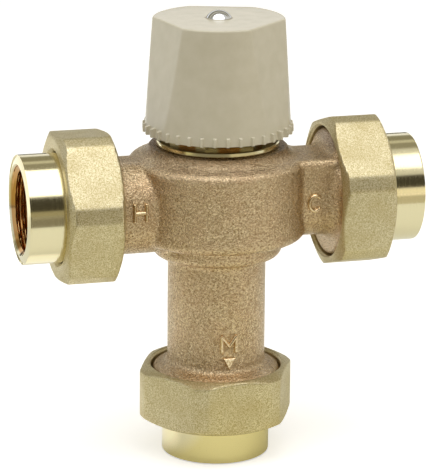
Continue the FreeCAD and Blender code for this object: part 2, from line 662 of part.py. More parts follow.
def bonnet():
    nose_top = COLD_ROOF + NOSE_SHOULDER
    nose_r = SEAT_R + SEAT_LAND
    body = turned(
        [(BONNET_BORE_R, COLD_SEAT), (nose_r, COLD_SEAT), (nose_r, nose_top),
         (BONNET_THREAD_R, nose_top)]
        + groove(BONNET_THREAD_R, BONNET_GROOVE, BONNET_GROOVE_MIDDLE, NECK_CLEAR)
        + [(BONNET_THREAD_R, NECK_TOP), (COLLAR_R, NECK_TOP, -BREAK), (COLLAR_R, COLLAR_TOP, -BREAK),
           (HUB_R, COLLAR_TOP), (HUB_R, BONNET_TOP, -BREAK), (STEM_BOSS_R, BONNET_TOP),
           (STEM_BOSS_R, STEM_BOSS_TOP, -BREAK), (STEM_HOLE_R, STEM_BOSS_TOP),
           (STEM_HOLE_R, BONNET_ROOF), (BONNET_BORE_R, BONNET_ROOF)])
    wrench = hexagon(HEX_AF, COLLAR_TOP, COLLAR_TOP + HEX_T).cut(
        rod(HUB_R - LAP, COLLAR_TOP - CUT, COLLAR_TOP + HEX_T + CUT))
    key = block(BONNET_BORE_R - KEY_DEPTH, BONNET_BORE_R + LAP, -KEY_WIDTH / 2, KEY_WIDTH / 2,
                CARRIER_BOTTOM + ADJUST_TRAVEL, CARRIER_TOP + ADJUST_TRAVEL)
    return body.fuse([wrench] + around(key, 2)).removeSplitter()


def bonnet_seal():
    return seal(BONNET_THREAD_R - BONNET_GROOVE, NECK_BORE_R, BONNET_GROOVE_MIDDLE)


# ---- Seat ring, shuttle and element ------------------------------------------------------------------

def seat_ring():
    inner = SEAT_RING_R - SEAT_RING_WALL
    ledge = SEAT_RING_BOTTOM + SPRING_LEDGE
    return turned(
        [(SPRING_LEDGE_R, SEAT_RING_BOTTOM), (SEAT_RING_R, SEAT_RING_BOTTOM, -BREAK)]
        + groove(SEAT_RING_R, SEAT_GROOVE, SEAT_RING_MIDDLE, RING_CLEAR)
        + [(SEAT_RING_R, SEAT_LEDGE), (SEAT_R, SEAT_LEDGE), (SEAT_R, HOT_SEAT), (inner, HOT_SEAT),
           (inner, ledge), (SPRING_LEDGE_R, ledge)])


def seat_ring_seal():
    return seal(SEAT_RING_R - SEAT_GROOVE, SEAT_RING_R + RING_CLEAR, SEAT_RING_MIDDLE)


def shuttle():
    """Sleeve with a seal groove, and a spoked hub in which the wax element hangs by its flange."""
    inner = SHUTTLE_BORE_R
    waist = inner - SHUTTLE_BELT
    sleeve = turned(
        [(inner, SHUTTLE_BOTTOM), (SHUTTLE_R, SHUTTLE_BOTTOM)]
        + groove(SHUTTLE_R, SHUTTLE_GROOVE, WEB_MID, BORE_CLEAR)
        + [(SHUTTLE_R, SHUTTLE_TOP), (inner, SHUTTLE_TOP), (inner, WEB_MID + BELT_REACH),
           (waist, WEB_MID + BELT_REACH - SHUTTLE_BELT), (waist, WEB_MID - BELT_REACH + SHUTTLE_BELT),
           (inner, WEB_MID - BELT_REACH)])
    hole = CAPSULE_R + ROD_CLEAR
    hub = ring(hole + HUB_WALL, hole, HUB_BOTTOM, HUB_TOP)
    spoke = block(hole + HUB_WALL - LAP, waist + LAP, -SPOKE_WIDTH / 2, SPOKE_WIDTH / 2,
                  HUB_BOTTOM, HUB_TOP)
    return sleeve.fuse([hub] + around(spoke, SPOKE_COUNT, 45)).removeSplitter()


def shuttle_seal():
    return seal(SHUTTLE_R - SHUTTLE_GROOVE, SHUTTLE_R + BORE_CLEAR - SEAL_SLIDE, WEB_MID)


def return_spring():
    return coil(RETURN_SPRING_R, RETURN_WIRE_R, SEAT_RING_BOTTOM + SPRING_LEDGE, HUB_BOTTOM,
                RETURN_TURNS, 6)


def wax_element():
    """Capsule, a flange that rests on the shuttle's hub, and a guide with the rod's blind bore."""
    flange_top = HUB_TOP + ELEMENT_FLANGE_T
    bore = ROD_R + ROD_CLEAR
    capsule_bottom = HUB_BOTTOM - CAPSULE_LENGTH
    return turned([
        (0, capsule_bottom), (CAPSULE_R, capsule_bottom, -CAPSULE_BEVEL), (CAPSULE_R, HUB_TOP),
        (ELEMENT_FLANGE_R, HUB_TOP), (ELEMENT_FLANGE_R, flange_top, -BREAK),
        (GUIDE_R + GUIDE_FLARE, flange_top), (GUIDE_R, flange_top + GUIDE_FLARE),
        (GUIDE_R, GUIDE_TOP, -BREAK), (bore, GUIDE_TOP), (bore, ROD_BORE_BOTTOM), (0, ROD_BORE_BOTTOM),
    ])


def element_rod():
    return turned([
        (0, ROD_BOTTOM), (ROD_R, ROD_BOTTOM, -BREAK), (ROD_R, ROD_TOP), (0, ROD_TOP),
    ])


# ---- Adjuster ----------------------------------------------------------------------------------------

def thrust_cup():
    socket = ROD_R + CLIP_CLEAR
    hub_top = CUP_FLANGE_TOP + CUP_HUB_T
    return turned([
        (socket, CUP_BOTTOM), (CUP_R, CUP_BOTTOM), (CUP_R, CUP_FLANGE_TOP, -BREAK),
        (CUP_HUB_R, CUP_FLANGE_TOP), (CUP_HUB_R, hub_top, -BREAK), (0, hub_top), (0, ROD_TOP),
        (socket, ROD_TOP),
    ])


def overtravel_spring():
    return coil(OVERTRAVEL_SPRING_R, OVERTRAVEL_WIRE_R, CUP_FLANGE_TOP, CARRIER_ROOF,
                OVERTRAVEL_TURNS, 6)


def adjuster_carrier():
    """Threaded above for the spindle's screw, bored below for the overtravel spring."""
    bore = SCREW_R + SCREW_CLEAR
    groove_r = CARRIER_BORE_R + CLIP_BITE + CLIP_CLEAR
    body = turned([
        (CARRIER_BORE_R, CARRIER_BOTTOM), (CARRIER_R, CARRIER_BOTTOM, -BREAK),
        (CARRIER_R, CARRIER_TOP, -BREAK), (bore, CARRIER_TOP), (bore, CARRIER_ROOF),
        (CARRIER_BORE_R, CARRIER_ROOF), (CARRIER_BORE_R, CLIP_TOP + CLIP_CLEAR),
        (groove_r, CLIP_TOP + CLIP_CLEAR), (groove_r, CLIP_BOTTOM - CLIP_CLEAR),
        (CARRIER_BORE_R, CLIP_BOTTOM - CLIP_CLEAR),
    ])
    slot_half = KEY_WIDTH / 2 + CARRIER_CLEAR
    slot = block(BONNET_BORE_R - KEY_DEPTH - CARRIER_CLEAR, CARRIER_R + CUT, -slot_half, slot_half,
                 CARRIER_BOTTOM - CUT, CARRIER_TOP + CUT)
    return body.cut(around(slot, 2))


def carrier_clip():
    """Snap ring in the carrier's bore, which the thrust cup rests on."""
    outer = CARRIER_BORE_R + CLIP_BITE
    clip = ring(outer, CARRIER_BORE_R - CLIP_LIP, CLIP_BOTTOM, CLIP_TOP)
    mouth = block(-CLIP_MOUTH / 2, CLIP_MOUTH / 2, 0, outer + CUT, CLIP_BOTTOM - CUT, CLIP_TOP + CUT)
    return clip.cut(mouth)


def splined(radius, bottom, top):
    """A rod with straight splines, one wedge-shaped groove between each two teeth."""
    deep = radius - SPLINE_DEPTH
    half = math.pi * radius / SPLINE_COUNT / 2
    wide = half * (1 + CUT / SPLINE_DEPTH)
    wedge = Part.Face(Part.makePolygon([
        V(deep, 0, bottom - CUT), V(radius + CUT, -wide, bottom - CUT),
        V(radius + CUT, wide, bottom - CUT), V(deep, 0, bottom - CUT),
    ])).extrude(V(0, 0, top - bottom + 2 * CUT))
    return rod(radius, bottom, top).cut(around(wedge, SPLINE_COUNT))


def spindle():
    """Screw, thrust flange, stem with seal and clip grooves, splined end with the knob screw's hole."""
    screw_end = CUP_FLANGE_TOP + CUP_HUB_T + OVERTRAVEL + ADJUST_TRAVEL + SCREW_GAP
    clip_r = STEM_R - STEM_CLIP_BITE
    shaft = turned(
        [(0, screw_end), (SCREW_R, screw_end, -BREAK), (SCREW_R, FLANGE_BOTTOM),
         (FLANGE_R, FLANGE_BOTTOM), (FLANGE_R, FLANGE_TOP, -BREAK), (STEM_R, FLANGE_TOP)]
        + groove(STEM_R, STEM_GROOVE, STEM_GROOVE_MIDDLE, STEM_CLEAR)
        + [(STEM_R, STEM_CLIP_BOTTOM - CLIP_CLEAR), (clip_r, STEM_CLIP_BOTTOM - CLIP_CLEAR),
           (clip_r, STEM_CLIP_TOP + CLIP_CLEAR), (STEM_R, STEM_CLIP_TOP + CLIP_CLEAR),
           (STEM_R, KNOB_HUB_BOTTOM), (0, KNOB_HUB_BOTTOM)])
    drive = splined(STEM_R, KNOB_HUB_BOTTOM - LAP, SPINDLE_TOP)
    tapped = rod(CAP_SCREW_R + SPLINE_CLEAR, CAP_SEAT - CAP_SCREW_LENGTH - CUT, SPINDLE_TOP + CUT)
    return shaft.fuse(drive).cut(tapped)


def spindle_seal():
    return seal(STEM_R - STEM_GROOVE, STEM_HOLE_R - CLIP_CLEAR, STEM_GROOVE_MIDDLE)


def spindle_clip():
    """Open retaining clip that keeps the spindle from dropping."""
    clip = ring(STEM_CLIP_R, STEM_R - STEM_CLIP_BITE + CLIP_CLEAR, STEM_CLIP_BOTTOM, STEM_CLIP_TOP)
    mouth = block(0, STEM_CLIP_R + CUT, -STEM_CLIP_MOUTH / 2, STEM_CLIP_MOUTH / 2,
                  STEM_CLIP_BOTTOM - CUT, STEM_CLIP_TOP + CUT)
    return clip.cut(spun(mouth, STEM_CLIP_TURN))


def thrust_washer():
    return ring(FLANGE_R, STEM_HOLE_R, FLANGE_TOP, FLANGE_TOP + WASHER_T)


# ---- Knob --------------------------------------------------------------------------------------------

def knob():
    """Moulded cap: a tapered cone with three finger flats, grip ribs, and a webbed hub inside."""
    cone = turned([
        (0, KNOB_RIM), (KNOB_BASE_R, KNOB_RIM), (KNOB_BASE_R, KNOB_RIM + KNOB_FOOT),
        (KNOB_TOP_R, KNOB_TOP, KNOB_EDGE), (0, KNOB_TOP),
    ]).cut(finger_flats(0))
    rib = block(KNOB_BASE_R - LAP, KNOB_BASE_R + RIB_PROUD, -RIB_WIDTH / 2, RIB_WIDTH / 2,
                KNOB_RIM, KNOB_RIM + RIB_HEIGHT)
    rib = rib.makeChamfer(RIB_BEVEL, [e for e in rib.Edges if is_rib_edge(e)])
    screw_hole = rod(CAP_SCREW_R + CAP_CLEAR, KNOB_ROOF - CUT, KNOB_TOP + CUT)
    recess = rod(CAP_HEAD_R + CAP_CLEAR, CAP_SEAT, KNOB_TOP + CUT)
    shell = cone.fuse(around(rib, RIB_COUNT, RIB_TURN)).cut([knob_core(KNOB_WALL), screw_hole, recess])
    hub = ring(KNOB_HUB_R, STEM_R + SPLINE_CLEAR, KNOB_HUB_BOTTOM, KNOB_ROOF + LAP)
    web = block((STEM_R + KNOB_HUB_R) / 2, KNOB_BASE_R, -KNOB_WEB_T / 2, KNOB_WEB_T / 2,
                KNOB_HUB_BOTTOM + KNOB_WEB_RISE, KNOB_ROOF + LAP)
    between = FLAT_TURN + 180 / KNOB_WEB_COUNT
    webs = [w.common(knob_core(KNOB_WALL - LAP)) for w in around(web, KNOB_WEB_COUNT, between)]
    return shell.fuse([hub] + webs).removeSplitter()


def is_rib_edge(edge):
    """The three outer edges that stand free on a grip rib: both flanks and the top."""
    ends = [v.Point for v in edge.Vertexes]
    at_foot = all(p.z < KNOB_RIM + LAP for p in ends)
    return all(p.x > KNOB_BASE_R for p in ends) and not at_foot


def finger_flats(inset):
    """Cutters whose flat inner faces lean in towards the knob's top and run out at its rim."""
    reach = 2 * KNOB_BASE_R
    tilt = math.degrees(math.atan((KNOB_BASE_R + FLAT_RUN_OUT - FLAT_TOP) / KNOB_HEIGHT))
    cutter = block(0, reach, -reach, reach, -2 * KNOB_HEIGHT, KNOB_HEIGHT)
    cutter.rotate(V(0, 0, 0), V(0, 1, 0), -tilt)
    cutter.translate(V(FLAT_TOP - inset, 0, KNOB_TOP))
    return around(cutter, FLAT_COUNT, FLAT_TURN)


def knob_core(inset):
    """The knob's hollow: its cone and flats, set in by the wall, or by less to reach into the wall."""
    top = KNOB_ROOF + KNOB_WALL - inset
    core = turned([
        (0, KNOB_RIM - CUT), (KNOB_BASE_R - inset, KNOB_RIM - CUT),
        (KNOB_BASE_R - inset, KNOB_RIM + KNOB_FOOT), (KNOB_TOP_R - inset, KNOB_TOP),
        (0, KNOB_TOP),
    ]).cut(finger_flats(inset))
    return core.common(rod(KNOB_BASE_R, KNOB_RIM - CUT, top))


def cap_screw():
    rise = CAP_HEAD_RISE - CAP_HEAD_EDGE
    dome_r = (CAP_HEAD_R ** 2 + rise ** 2) / (2 * rise)
    crown = CAP_SEAT + CAP_HEAD_RISE
    dome = Part.makeSphere(dome_r, V(0, 0, crown - dome_r))
    head = rod(CAP_HEAD_R, CAP_SEAT, crown + CUT).common(dome)
    return head.fuse(rod(CAP_SCREW_R, CAP_SEAT - CAP_SCREW_LENGTH, CAP_SEAT)).removeSplitter()


# ---- Every piece, by its node name -------------------------------------------------------------------

def pieces():
    model = {
        "valve_body": valve_body(),
        "seat_ring": seat_ring(),
        "seat_ring_seal": seat_ring_seal(),
        "return_spring": return_spring(),
        "shuttle": shuttle(),
        "shuttle_seal": shuttle_seal(),
        "wax_element": wax_element(),
        "element_rod": element_rod(),
        "thrust_cup": thrust_cup(),
        "overtravel_spring": overtravel_spring(),
        "carrier_clip": carrier_clip(),
        "adjuster_carrier": adjuster_carrier(),
        "spindle": spindle(),
        "spindle_seal": spindle_seal(),
        "thrust_washer": thrust_washer(),
        "spindle_clip": spindle_clip(),
        "bonnet": bonnet(),
        "bonnet_seal": bonnet_seal(),
        "knob": knob(),
        "cap_screw": cap_screw(),
    }
    ports = {
        "hot": (to_hot, HOT_NUT_TURN),
        "cold": (to_cold, COLD_NUT_TURN),
        "mixed": (to_outlet, MIXED_NUT_TURN),
    }
    for port, (carry, nut_turn) in ports.items():
        model[port + "_tailpiece"] = carry(tailpiece())
        model[port + "_gasket"] = carry(gasket())
        model[port + "_nut"] = carry(union_nut(nut_turn))
        if port != "mixed":
            model[port + "_screen"] = carry(screen())
            model[port + "_check_housing"] = carry(check_housing())
            model[port + "_check_poppet"] = carry(check_poppet())
            model[port + "_check_seal"] = carry(check_seal())
            model[port + "_check_spring"] = carry(check_spring())
    return model


os.makedirs(PARTS, exist_ok=True)
for name, shape in pieces().items():
    shape.exportStep(os.path.join(PARTS, name + ".step"))
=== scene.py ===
"""Thermostatic mixing valve: the casting, nuts, turnings and knob as they look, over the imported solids."""

import json
import math

import bmesh
import bpy
import numpy as np
from mathutils import Matrix, Vector


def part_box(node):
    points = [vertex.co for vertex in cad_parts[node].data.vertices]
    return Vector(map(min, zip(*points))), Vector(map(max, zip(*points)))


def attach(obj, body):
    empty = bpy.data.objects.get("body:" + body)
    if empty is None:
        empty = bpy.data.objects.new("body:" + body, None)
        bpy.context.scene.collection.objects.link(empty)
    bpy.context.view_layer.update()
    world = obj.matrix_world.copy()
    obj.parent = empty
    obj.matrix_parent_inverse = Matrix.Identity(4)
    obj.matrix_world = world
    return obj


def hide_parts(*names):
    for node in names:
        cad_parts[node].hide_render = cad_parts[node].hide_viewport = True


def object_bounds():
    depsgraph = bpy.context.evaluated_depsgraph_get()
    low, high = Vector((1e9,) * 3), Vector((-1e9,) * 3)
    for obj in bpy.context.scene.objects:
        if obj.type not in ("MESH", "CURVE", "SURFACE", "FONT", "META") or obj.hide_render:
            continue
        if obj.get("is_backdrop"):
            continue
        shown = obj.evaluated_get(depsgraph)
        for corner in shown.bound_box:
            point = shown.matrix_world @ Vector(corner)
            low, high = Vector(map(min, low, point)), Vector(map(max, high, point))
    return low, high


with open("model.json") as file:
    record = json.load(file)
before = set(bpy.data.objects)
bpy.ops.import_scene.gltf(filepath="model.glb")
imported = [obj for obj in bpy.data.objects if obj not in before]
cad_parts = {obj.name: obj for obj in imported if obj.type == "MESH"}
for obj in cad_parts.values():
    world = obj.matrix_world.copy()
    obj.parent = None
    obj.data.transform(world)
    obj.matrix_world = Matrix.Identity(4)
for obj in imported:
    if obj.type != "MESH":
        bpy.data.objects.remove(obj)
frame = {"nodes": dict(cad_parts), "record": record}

bl_info = {
    "name": "Mixing Valve",
    "version": (1, 0, 0),
    "blender": (4, 5, 0),
    "location": "3D View > Sidebar > Valve",
    "description": "Builds the visible pieces, finishes and studio of a thermostatic mixing valve",
    "category": "Add Mesh",
}

MM = 0.001
TAU = 2 * math.pi
PORTS = ("hot", "cold", "mixed")
INWARD = {"hot": (1, 0, 0), "cold": (-1, 0, 0), "mixed": (0, 0, 1)}
ACROSS = {"hot": (0, 0, -1), "cold": (0, 0, 1), "mixed": (1, 0, 0)}
BACK = np.array((0.0, 1.0, 0.0))
BOSS_LENGTH, BOSS_FILLET = 8.4 * MM, 0.62 * MM


# ---- Numbers and meshes ----

def smooth_least(*values, blend):
    """The least of several arrays, rounded over a width blend where two of them cross."""
    stack = np.stack(np.broadcast_arrays(*values))
    low = stack.min(0)
    return low - blend * np.log(np.exp((low - stack) / blend).sum(0))


def ease(value):
    """Smooth step from 0 to 1 of an array."""
    value = np.clip(value, 0, 1)
    return value * value * (3 - 2 * value)


def wrapped(angle, period):
    """Angles brought to within half a period of zero."""
    return (angle + period / 2) % period - period / 2


def softened(bends, steps):
    """Closed outline past bends (s, r, reach): each turns along a quadratic curve of steps points that
    starts and ends its reach away from the bend, or just short of half way to the next."""
    bends = np.array(bends, float)
    points, reach = bends[:, :2], bends[:, 2:]
    ends = []
    for shift in (1, -1):
        leg = np.roll(points, shift, 0) - points
        span = np.linalg.norm(leg, axis=1, keepdims=True)
        ends.append(points + leg * np.minimum(reach / span, 0.48))
    t = np.linspace(0, 1, steps)[None, :, None]
    start, stop = ends[0][:, None], ends[1][:, None]
    curve = (1 - t) ** 2 * start + 2 * t * (1 - t) * points[:, None] + t ** 2 * stop
    return curve.reshape(-1, 2)


def mesh_from(name, points, quads, crease):
    """Mesh object of whole arrays: seams merged, normals outward, edges sharper than crease kept sharp."""
    mesh = bpy.data.meshes.new(name)
    mesh.vertices.add(len(points))
    mesh.vertices.foreach_set("co", np.ascontiguousarray(points, np.float32).ravel())
    mesh.loops.add(quads.size)
    mesh.loops.foreach_set("vertex_index", np.ascontiguousarray(quads, np.int32).ravel())
    mesh.polygons.add(len(quads))
    mesh.polygons.foreach_set("loop_start", np.arange(0, quads.size, 4, dtype=np.int32))
    mesh.update(calc_edges=True)
    obj = bpy.data.objects.new(name, mesh)
    bpy.context.scene.collection.objects.link(obj)
    tidy(mesh, 0.002 * MM)
    smooth(mesh, crease)
    return obj


def tidy(mesh, distance):
    """Merges doubled vertices and turns the normals outward."""
    work = bmesh.new()
    work.from_mesh(mesh)
    bmesh.ops.remove_doubles(work, verts=work.verts, dist=distance)
    bmesh.ops.dissolve_degenerate(work, edges=work.edges, dist=distance)
    bmesh.ops.recalc_face_normals(work, faces=work.faces)
    work.to_mesh(mesh)
    work.free()


def smooth(mesh, crease):
    """Smooth shading, with the edges that turn by more than crease degrees kept sharp."""
    mesh.polygons.foreach_set("use_smooth", np.ones(len(mesh.polygons), bool))
    mesh.set_sharp_from_angle(angle=math.radians(crease))


def grid_quads(rows, columns, first):
    """Quads over a grid of points that is closed both ways, whose first point has the number first."""
    i, j = np.meshgrid(np.arange(rows), np.arange(columns), indexing="ij")
    i2, j2 = (i + 1) % rows, (j + 1) % columns
    quads = np.stack([i * columns + j, i2 * columns + j, i2 * columns + j2, i * columns + j2], -1)
    return quads.reshape(-1, 4) + first


def closed_grids(name, grids, crease):
    """One mesh over grids of points[row, column] that are each closed both ways."""
    quads, points, first = [], [], 0
    for grid in grids:
        rows, columns = grid.shape[:2]
        quads.append(grid_quads(rows, columns, first))
        points.append(grid.reshape(-1, 3))
        first += rows * columns
    return mesh_from(name, np.concatenate(points), np.concatenate(quads), crease)


def turns(count):
    """Equal angles once round."""
    return np.linspace(0, TAU, count, endpoint=False)


class Port:
    """Frame of one union: depth s runs inwards from the tailpiece's end, angles turn about the axis."""

    def __init__(self, name):
        low, high = (np.array(corner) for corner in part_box(name + "_tailpiece"))
        self.name = name
        self.inward = np.array(INWARD[name], float)
        self.across = np.array(ACROSS[name], float)
        self.origin = (low + high) / 2
        self.origin = self.origin - self.inward * abs((high - low) @ self.inward) / 2

    def place(self, s, r, angle):
        """Points at depth s and radius r, turned by an angle about the axis; the arrays broadcast."""
        s, r, angle = (a[..., None] for a in np.broadcast_arrays(s, r, angle))
        out = np.cos(angle) * self.across + np.sin(angle) * BACK
        return self.origin + s * self.inward + r * out

    def depths(self, node):
        """Least and greatest depth of a CAD node."""
        along = sorted((np.array(corner) - self.origin) @ self.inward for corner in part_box(node))
        return along[0], along[1]


def thread(s, angle, pitch):
    """Rounded V of a right-hand thread, 0 to 1, at depth s and an angle about the axis, with a narrow
    flat at its crest and its root."""
    phase = (s / pitch - angle / TAU) % 1
    return ease(1.16 * np.abs(2 * phase - 1) - 0.08)


# ---- Materials ----

COLOUR = {"out": 2, "data_type": "RGBA"}  # a Mix node between the two colours in its sockets 6 and 7


def linear(code):
    """Linear colour with alpha of an sRGB hex code."""
    srgb = np.array([int(code[i:i + 2], 16) for i in (0, 2, 4)]) / 255
    value = np.where(srgb <= 0.04045, srgb / 12.92, ((srgb + 0.055) / 1.055) ** 2.4)
    return (*value.tolist(), 1.0)


def fill(tree, node, inputs):
    """Gives a node's inputs a value or a link from an output: a dict by key, a list in their order."""
    pairs = inputs.items() if isinstance(inputs, dict) else enumerate(inputs)
    for key, value in pairs:
        if isinstance(value, bpy.types.NodeSocket):
            tree.links.new(value, node.inputs[key])
        else:
            node.inputs[key].default_value = value


def add(tree, kind, inputs=(), out=0, **settings):
    """Adds a shader node with its settings and inputs, and returns the output that out names."""
    node = tree.nodes.new("ShaderNode" + kind)
    for name, value in settings.items():
        setattr(node, name, value)
    fill(tree, node, inputs)
    return node.outputs[out]


def new_material(name):
    """A material with one Principled shader: its tree, that shader and the Object coordinates."""
    material = bpy.data.materials.new(name)
    material.use_nodes = True
    tree = material.node_tree
    return tree, tree.nodes["Principled BSDF"], add(tree, "TexCoord", out="Object")


def cast_bronze(colours):
    """Blasted sand casting: golden brown metal with a two-toned grain, painted shade in its fine hollows
    and painted highlights on its high grains, and with painted shade on the shoulder under the knob.
    The grain is drawn at 0.6 mm, coarser than blasting leaves it, so that it shows."""
    tree, shader, place = new_material("sand_cast_bronze")
    grain = add(tree, "TexNoise", {
        "Vector": place, "Scale": 1 / (0.6 * MM), "Detail": 4.0, "Roughness": 0.72})
    lumps = add(tree, "TexNoise", {"Vector": place, "Scale": 1 / (7.0 * MM), "Detail": 3.0})
    # the grain's two tones are painted light: painted shade in its hollows, painted highlights on its high
    # grains
    painted_grain_light = add(tree, "MapRange", [grain, 0.38, 0.62])
    tone = add(tree, "Mix", {0: painted_grain_light, 6: colours.bronze_pits_painted_shade, 7: colours.bronze_grains_painted_highlight}, **COLOUR)
    patches = add(tree, "MapRange", [lumps, 0.35, 0.65, 0, 0.3])
    warm = add(tree, "Mix", {0: patches, 6: tone, 7: linear("D2AE88")}, **COLOUR)
    height = add(tree, "SeparateXYZ", [place], out="Z")
    # painted shade: darker bronze on the shoulder under the knob, rising towards the top
    neck_painted_shade = add(tree, "MapRange", [height, 93.2 * MM, 95.2 * MM, 0, 0.75])
    wavy = add(tree, "Bump", {"Height": lumps, "Distance": 0.7 * MM, "Strength": 0.7})
    fill(tree, shader, {
        "Metallic": 1.0,
        "Base Color": add(tree, "Mix", {0: neck_painted_shade, 6: warm, 7: linear("836846")}, **COLOUR),
        "Roughness": add(tree, "MapRange", [grain, 0.35, 0.65, 0.32, 0.17]),
        "Normal": add(tree, "Bump", {
            "Height": grain, "Distance": 0.34 * MM, "Strength": 1.0, "Normal": wavy})})


def rubbed_bronze():
    """Raised cast letters: the same bronze, painted paler as a painted highlight on the strokes, and
    smoother.
    """
    tree, shader, place = new_material("rubbed_bronze")
    grain = add(tree, "TexNoise", {"Vector": place, "Scale": 1 / (0.5 * MM), "Detail": 3.0})
    grit = add(tree, "MapRange", [grain, 0.4, 0.6])
    # painted highlight: the letters' paler colour
    fill(tree, shader, {
        "Metallic": 1.0,
        "Base Color": add(tree, "Mix", {0: grit, 6: linear("D2B68C"), 7: linear("F6E2BC")}, **COLOUR),
        "Roughness": add(tree, "MapRange", [grain, 0.35, 0.65, 0.28, 0.18]),
        "Normal": add(tree, "Bump", {"Height": grain, "Distance": 0.06 * MM, "Strength": 0.8})})


def tumbled_brass(colours):
    """Forged and tumbled nut brass: pale satin yellow with a fine etched grain and faint stains."""
    tree, shader, place = new_material("tumbled_brass")
    grain = add(tree, "TexNoise", {
        "Vector": place, "Scale": 1 / (0.3 * MM), "Detail": 3.0, "Roughness": 0.7})
    cloud = add(tree, "TexNoise", {"Vector": place, "Scale": 1 / (6.0 * MM), "Detail": 3.0})
    etched = add(tree, "MapRange", [grain, 0.4, 0.58])
    tone = add(tree, "Mix", {0: etched, 6: colours.nut_dark, 7: colours.nut_light}, **COLOUR)
    stain = add(tree, "MapRange", [cloud, 0.4, 0.7, 0, 0.35])
    fill(tree, shader, {
        "Metallic": 1.0,
        "Base Color": add(tree, "Mix", {0: stain, 6: tone, 7: linear("C8B783")}, **COLOUR),
        "Roughness": add(tree, "MapRange", [cloud, 0.3, 0.7, 0.42, 0.52]),
        "Normal": add(tree, "Bump", {"Height": grain, "Distance": 0.08 * MM, "Strength": 0.8})})


def turned_brass(colours, name, along, centre):
    """Bright lathe-cut brass: fine rings round the piece's own axis draw the reflections out, and the
    tapped bore is painted orange-brown as painted shade and reflection deep in the thread."""
    tree, shader, place = new_material(name)
    away = add(tree, "VectorMath", [place, centre], operation="SUBTRACT")
    depth = add(tree, "VectorMath", [away, along], out="Value", operation="DOT_PRODUCT")
    flat = add(tree, "VectorMath", [away, [1 - abs(a) for a in along]], operation="MULTIPLY")
    radius = add(tree, "VectorMath", [flat], out="Value", operation="LENGTH")
    # painted shade and reflection: the tapped bore is coloured orange-brown
    bore = add(tree, "MapRange", [radius, 13.0 * MM, 13.3 * MM, 1, 0])
    ring = add(tree, "Math", [depth, radius], operation="ADD")
    cuts = add(tree, "TexNoise", {
        "W": ring, "Scale": 1 / (0.3 * MM), "Detail": 3.0, "Roughness": 0.7}, noise_dimensions="1D")
    fill(tree, shader, {
        "Metallic": 1.0,
        "Base Color": add(tree, "Mix", {0: bore, 6: colours.turned, 7: colours.bore}, **COLOUR),
        "Roughness": add(tree, "MapRange", [cuts, 0.35, 0.65, 0.07, 0.2]),
        "Normal": add(tree, "Bump", {"Height": cuts, "Distance": 0.007 * MM, "Strength": 0.8})})


def machined_brass():
    """Inner turnings: duller yellow brass."""
    tree, shader, place = new_material("machined_brass")
    cloud = add(tree, "TexNoise", {"Vector": place, "Scale": 1 / (1.5 * MM)})
    fill(tree, shader, {
        "Metallic": 1.0, "Base Color": linear("D9C68C"),
        "Roughness": add(tree, "MapRange", [cloud, 0.3, 0.7, 0.22, 0.38])})


def knob_plastic(colours):
    """Beige moulded plastic with a faint satin texture."""
    tree, shader, place = new_material("beige_moulded_plastic")
    cloud = add(tree, "TexNoise", {"Vector": place, "Scale": 1 / (4.0 * MM), "Detail": 3.0})
    fine = add(tree, "TexNoise", {"Vector": place, "Scale": 1 / (0.35 * MM)})
    shade = add(tree, "MapRange", [cloud, 0.3, 0.7])
    fill(tree, shader, {
        "Base Color": add(tree, "Mix", {0: shade, 6: colours.knob_dark, 7: colours.knob_light}, **COLOUR),
        "Roughness": add(tree, "MapRange", [cloud, 0.3, 0.7, 0.2, 0.26]),
        "Normal": add(tree, "Bump", {"Height": fine, "Distance": 0.012 * MM, "Strength": 0.6})})


def chrome():
    """Polished chrome plate on the cap screw, a mirror that is hardly dulled."""
    tree, shader, place = new_material("chrome_plate")
    cloud = add(tree, "TexNoise", {"Vector": place, "Scale": 1 / (1.0 * MM)})
    fill(tree, shader, {
        "Metallic": 1.0, "Base Color": linear("E8E8EA"),
        "Roughness": add(tree, "MapRange", [cloud, 0.3, 0.7, 0.06, 0.1])})


def stainless():
    """Drawn spring wire and sheet: grey, a little brushed."""
    tree, shader, place = new_material("stainless_steel")
    cloud = add(tree, "TexNoise", {"Vector": place, "Scale": 1 / (0.5 * MM)})
    fill(tree, shader, {
        "Metallic": 1.0, "Base Color": linear("C4C4C6"),
        "Roughness": add(tree, "MapRange", [cloud, 0.3, 0.7, 0.24, 0.36])})


def screen_mesh():
    """Woven steel of the strainers: bright wires both ways, 1.1 mm apart, with painted shade in the openings.
    """
    tree, shader, place = new_material("woven_steel_screen")
    waves = []
    for axis in ("Y", "Z"):
        spot = add(tree, "SeparateXYZ", [place], out=axis)
        turn = add(tree, "Math", [spot, TAU / (1.1 * MM)], operation="MULTIPLY")
        waves.append(add(tree, "Math", [turn], operation="SINE"))
    wires = add(tree, "Math", waves, operation="MAXIMUM")
    # painted shade: the openings between the wires are near-black
    bright = add(tree, "MapRange", [wires, 0.1, 0.35])
    fill(tree, shader, {
        "Metallic": 1.0,
        "Base Color": add(tree, "Mix", {0: bright, 6: linear("24231F"), 7: linear("C8C8C6")}, **COLOUR),
        "Roughness": add(tree, "MapRange", [wires, 0, 1, 0.6, 0.25]),
        "Normal": add(tree, "Bump", {"Height": wires, "Distance": 0.15 * MM, "Strength": 1.0})})


def element_copper():
    """Drawn copper cup of the thermostat, lightly darkened in clouds."""
    tree, shader, place = new_material("drawn_copper")
    cloud = add(tree, "TexNoise", {"Vector": place, "Scale": 1 / (3.0 * MM), "Detail": 3.0})
    fill(tree, shader, {
        "Metallic": 1.0,
        "Base Color": add(tree, "Mix", {0: cloud, 6: linear("B8734F"), 7: linear("D69A76")}, **COLOUR),
        "Roughness": add(tree, "MapRange", [cloud, 0.3, 0.7, 0.26, 0.4])})


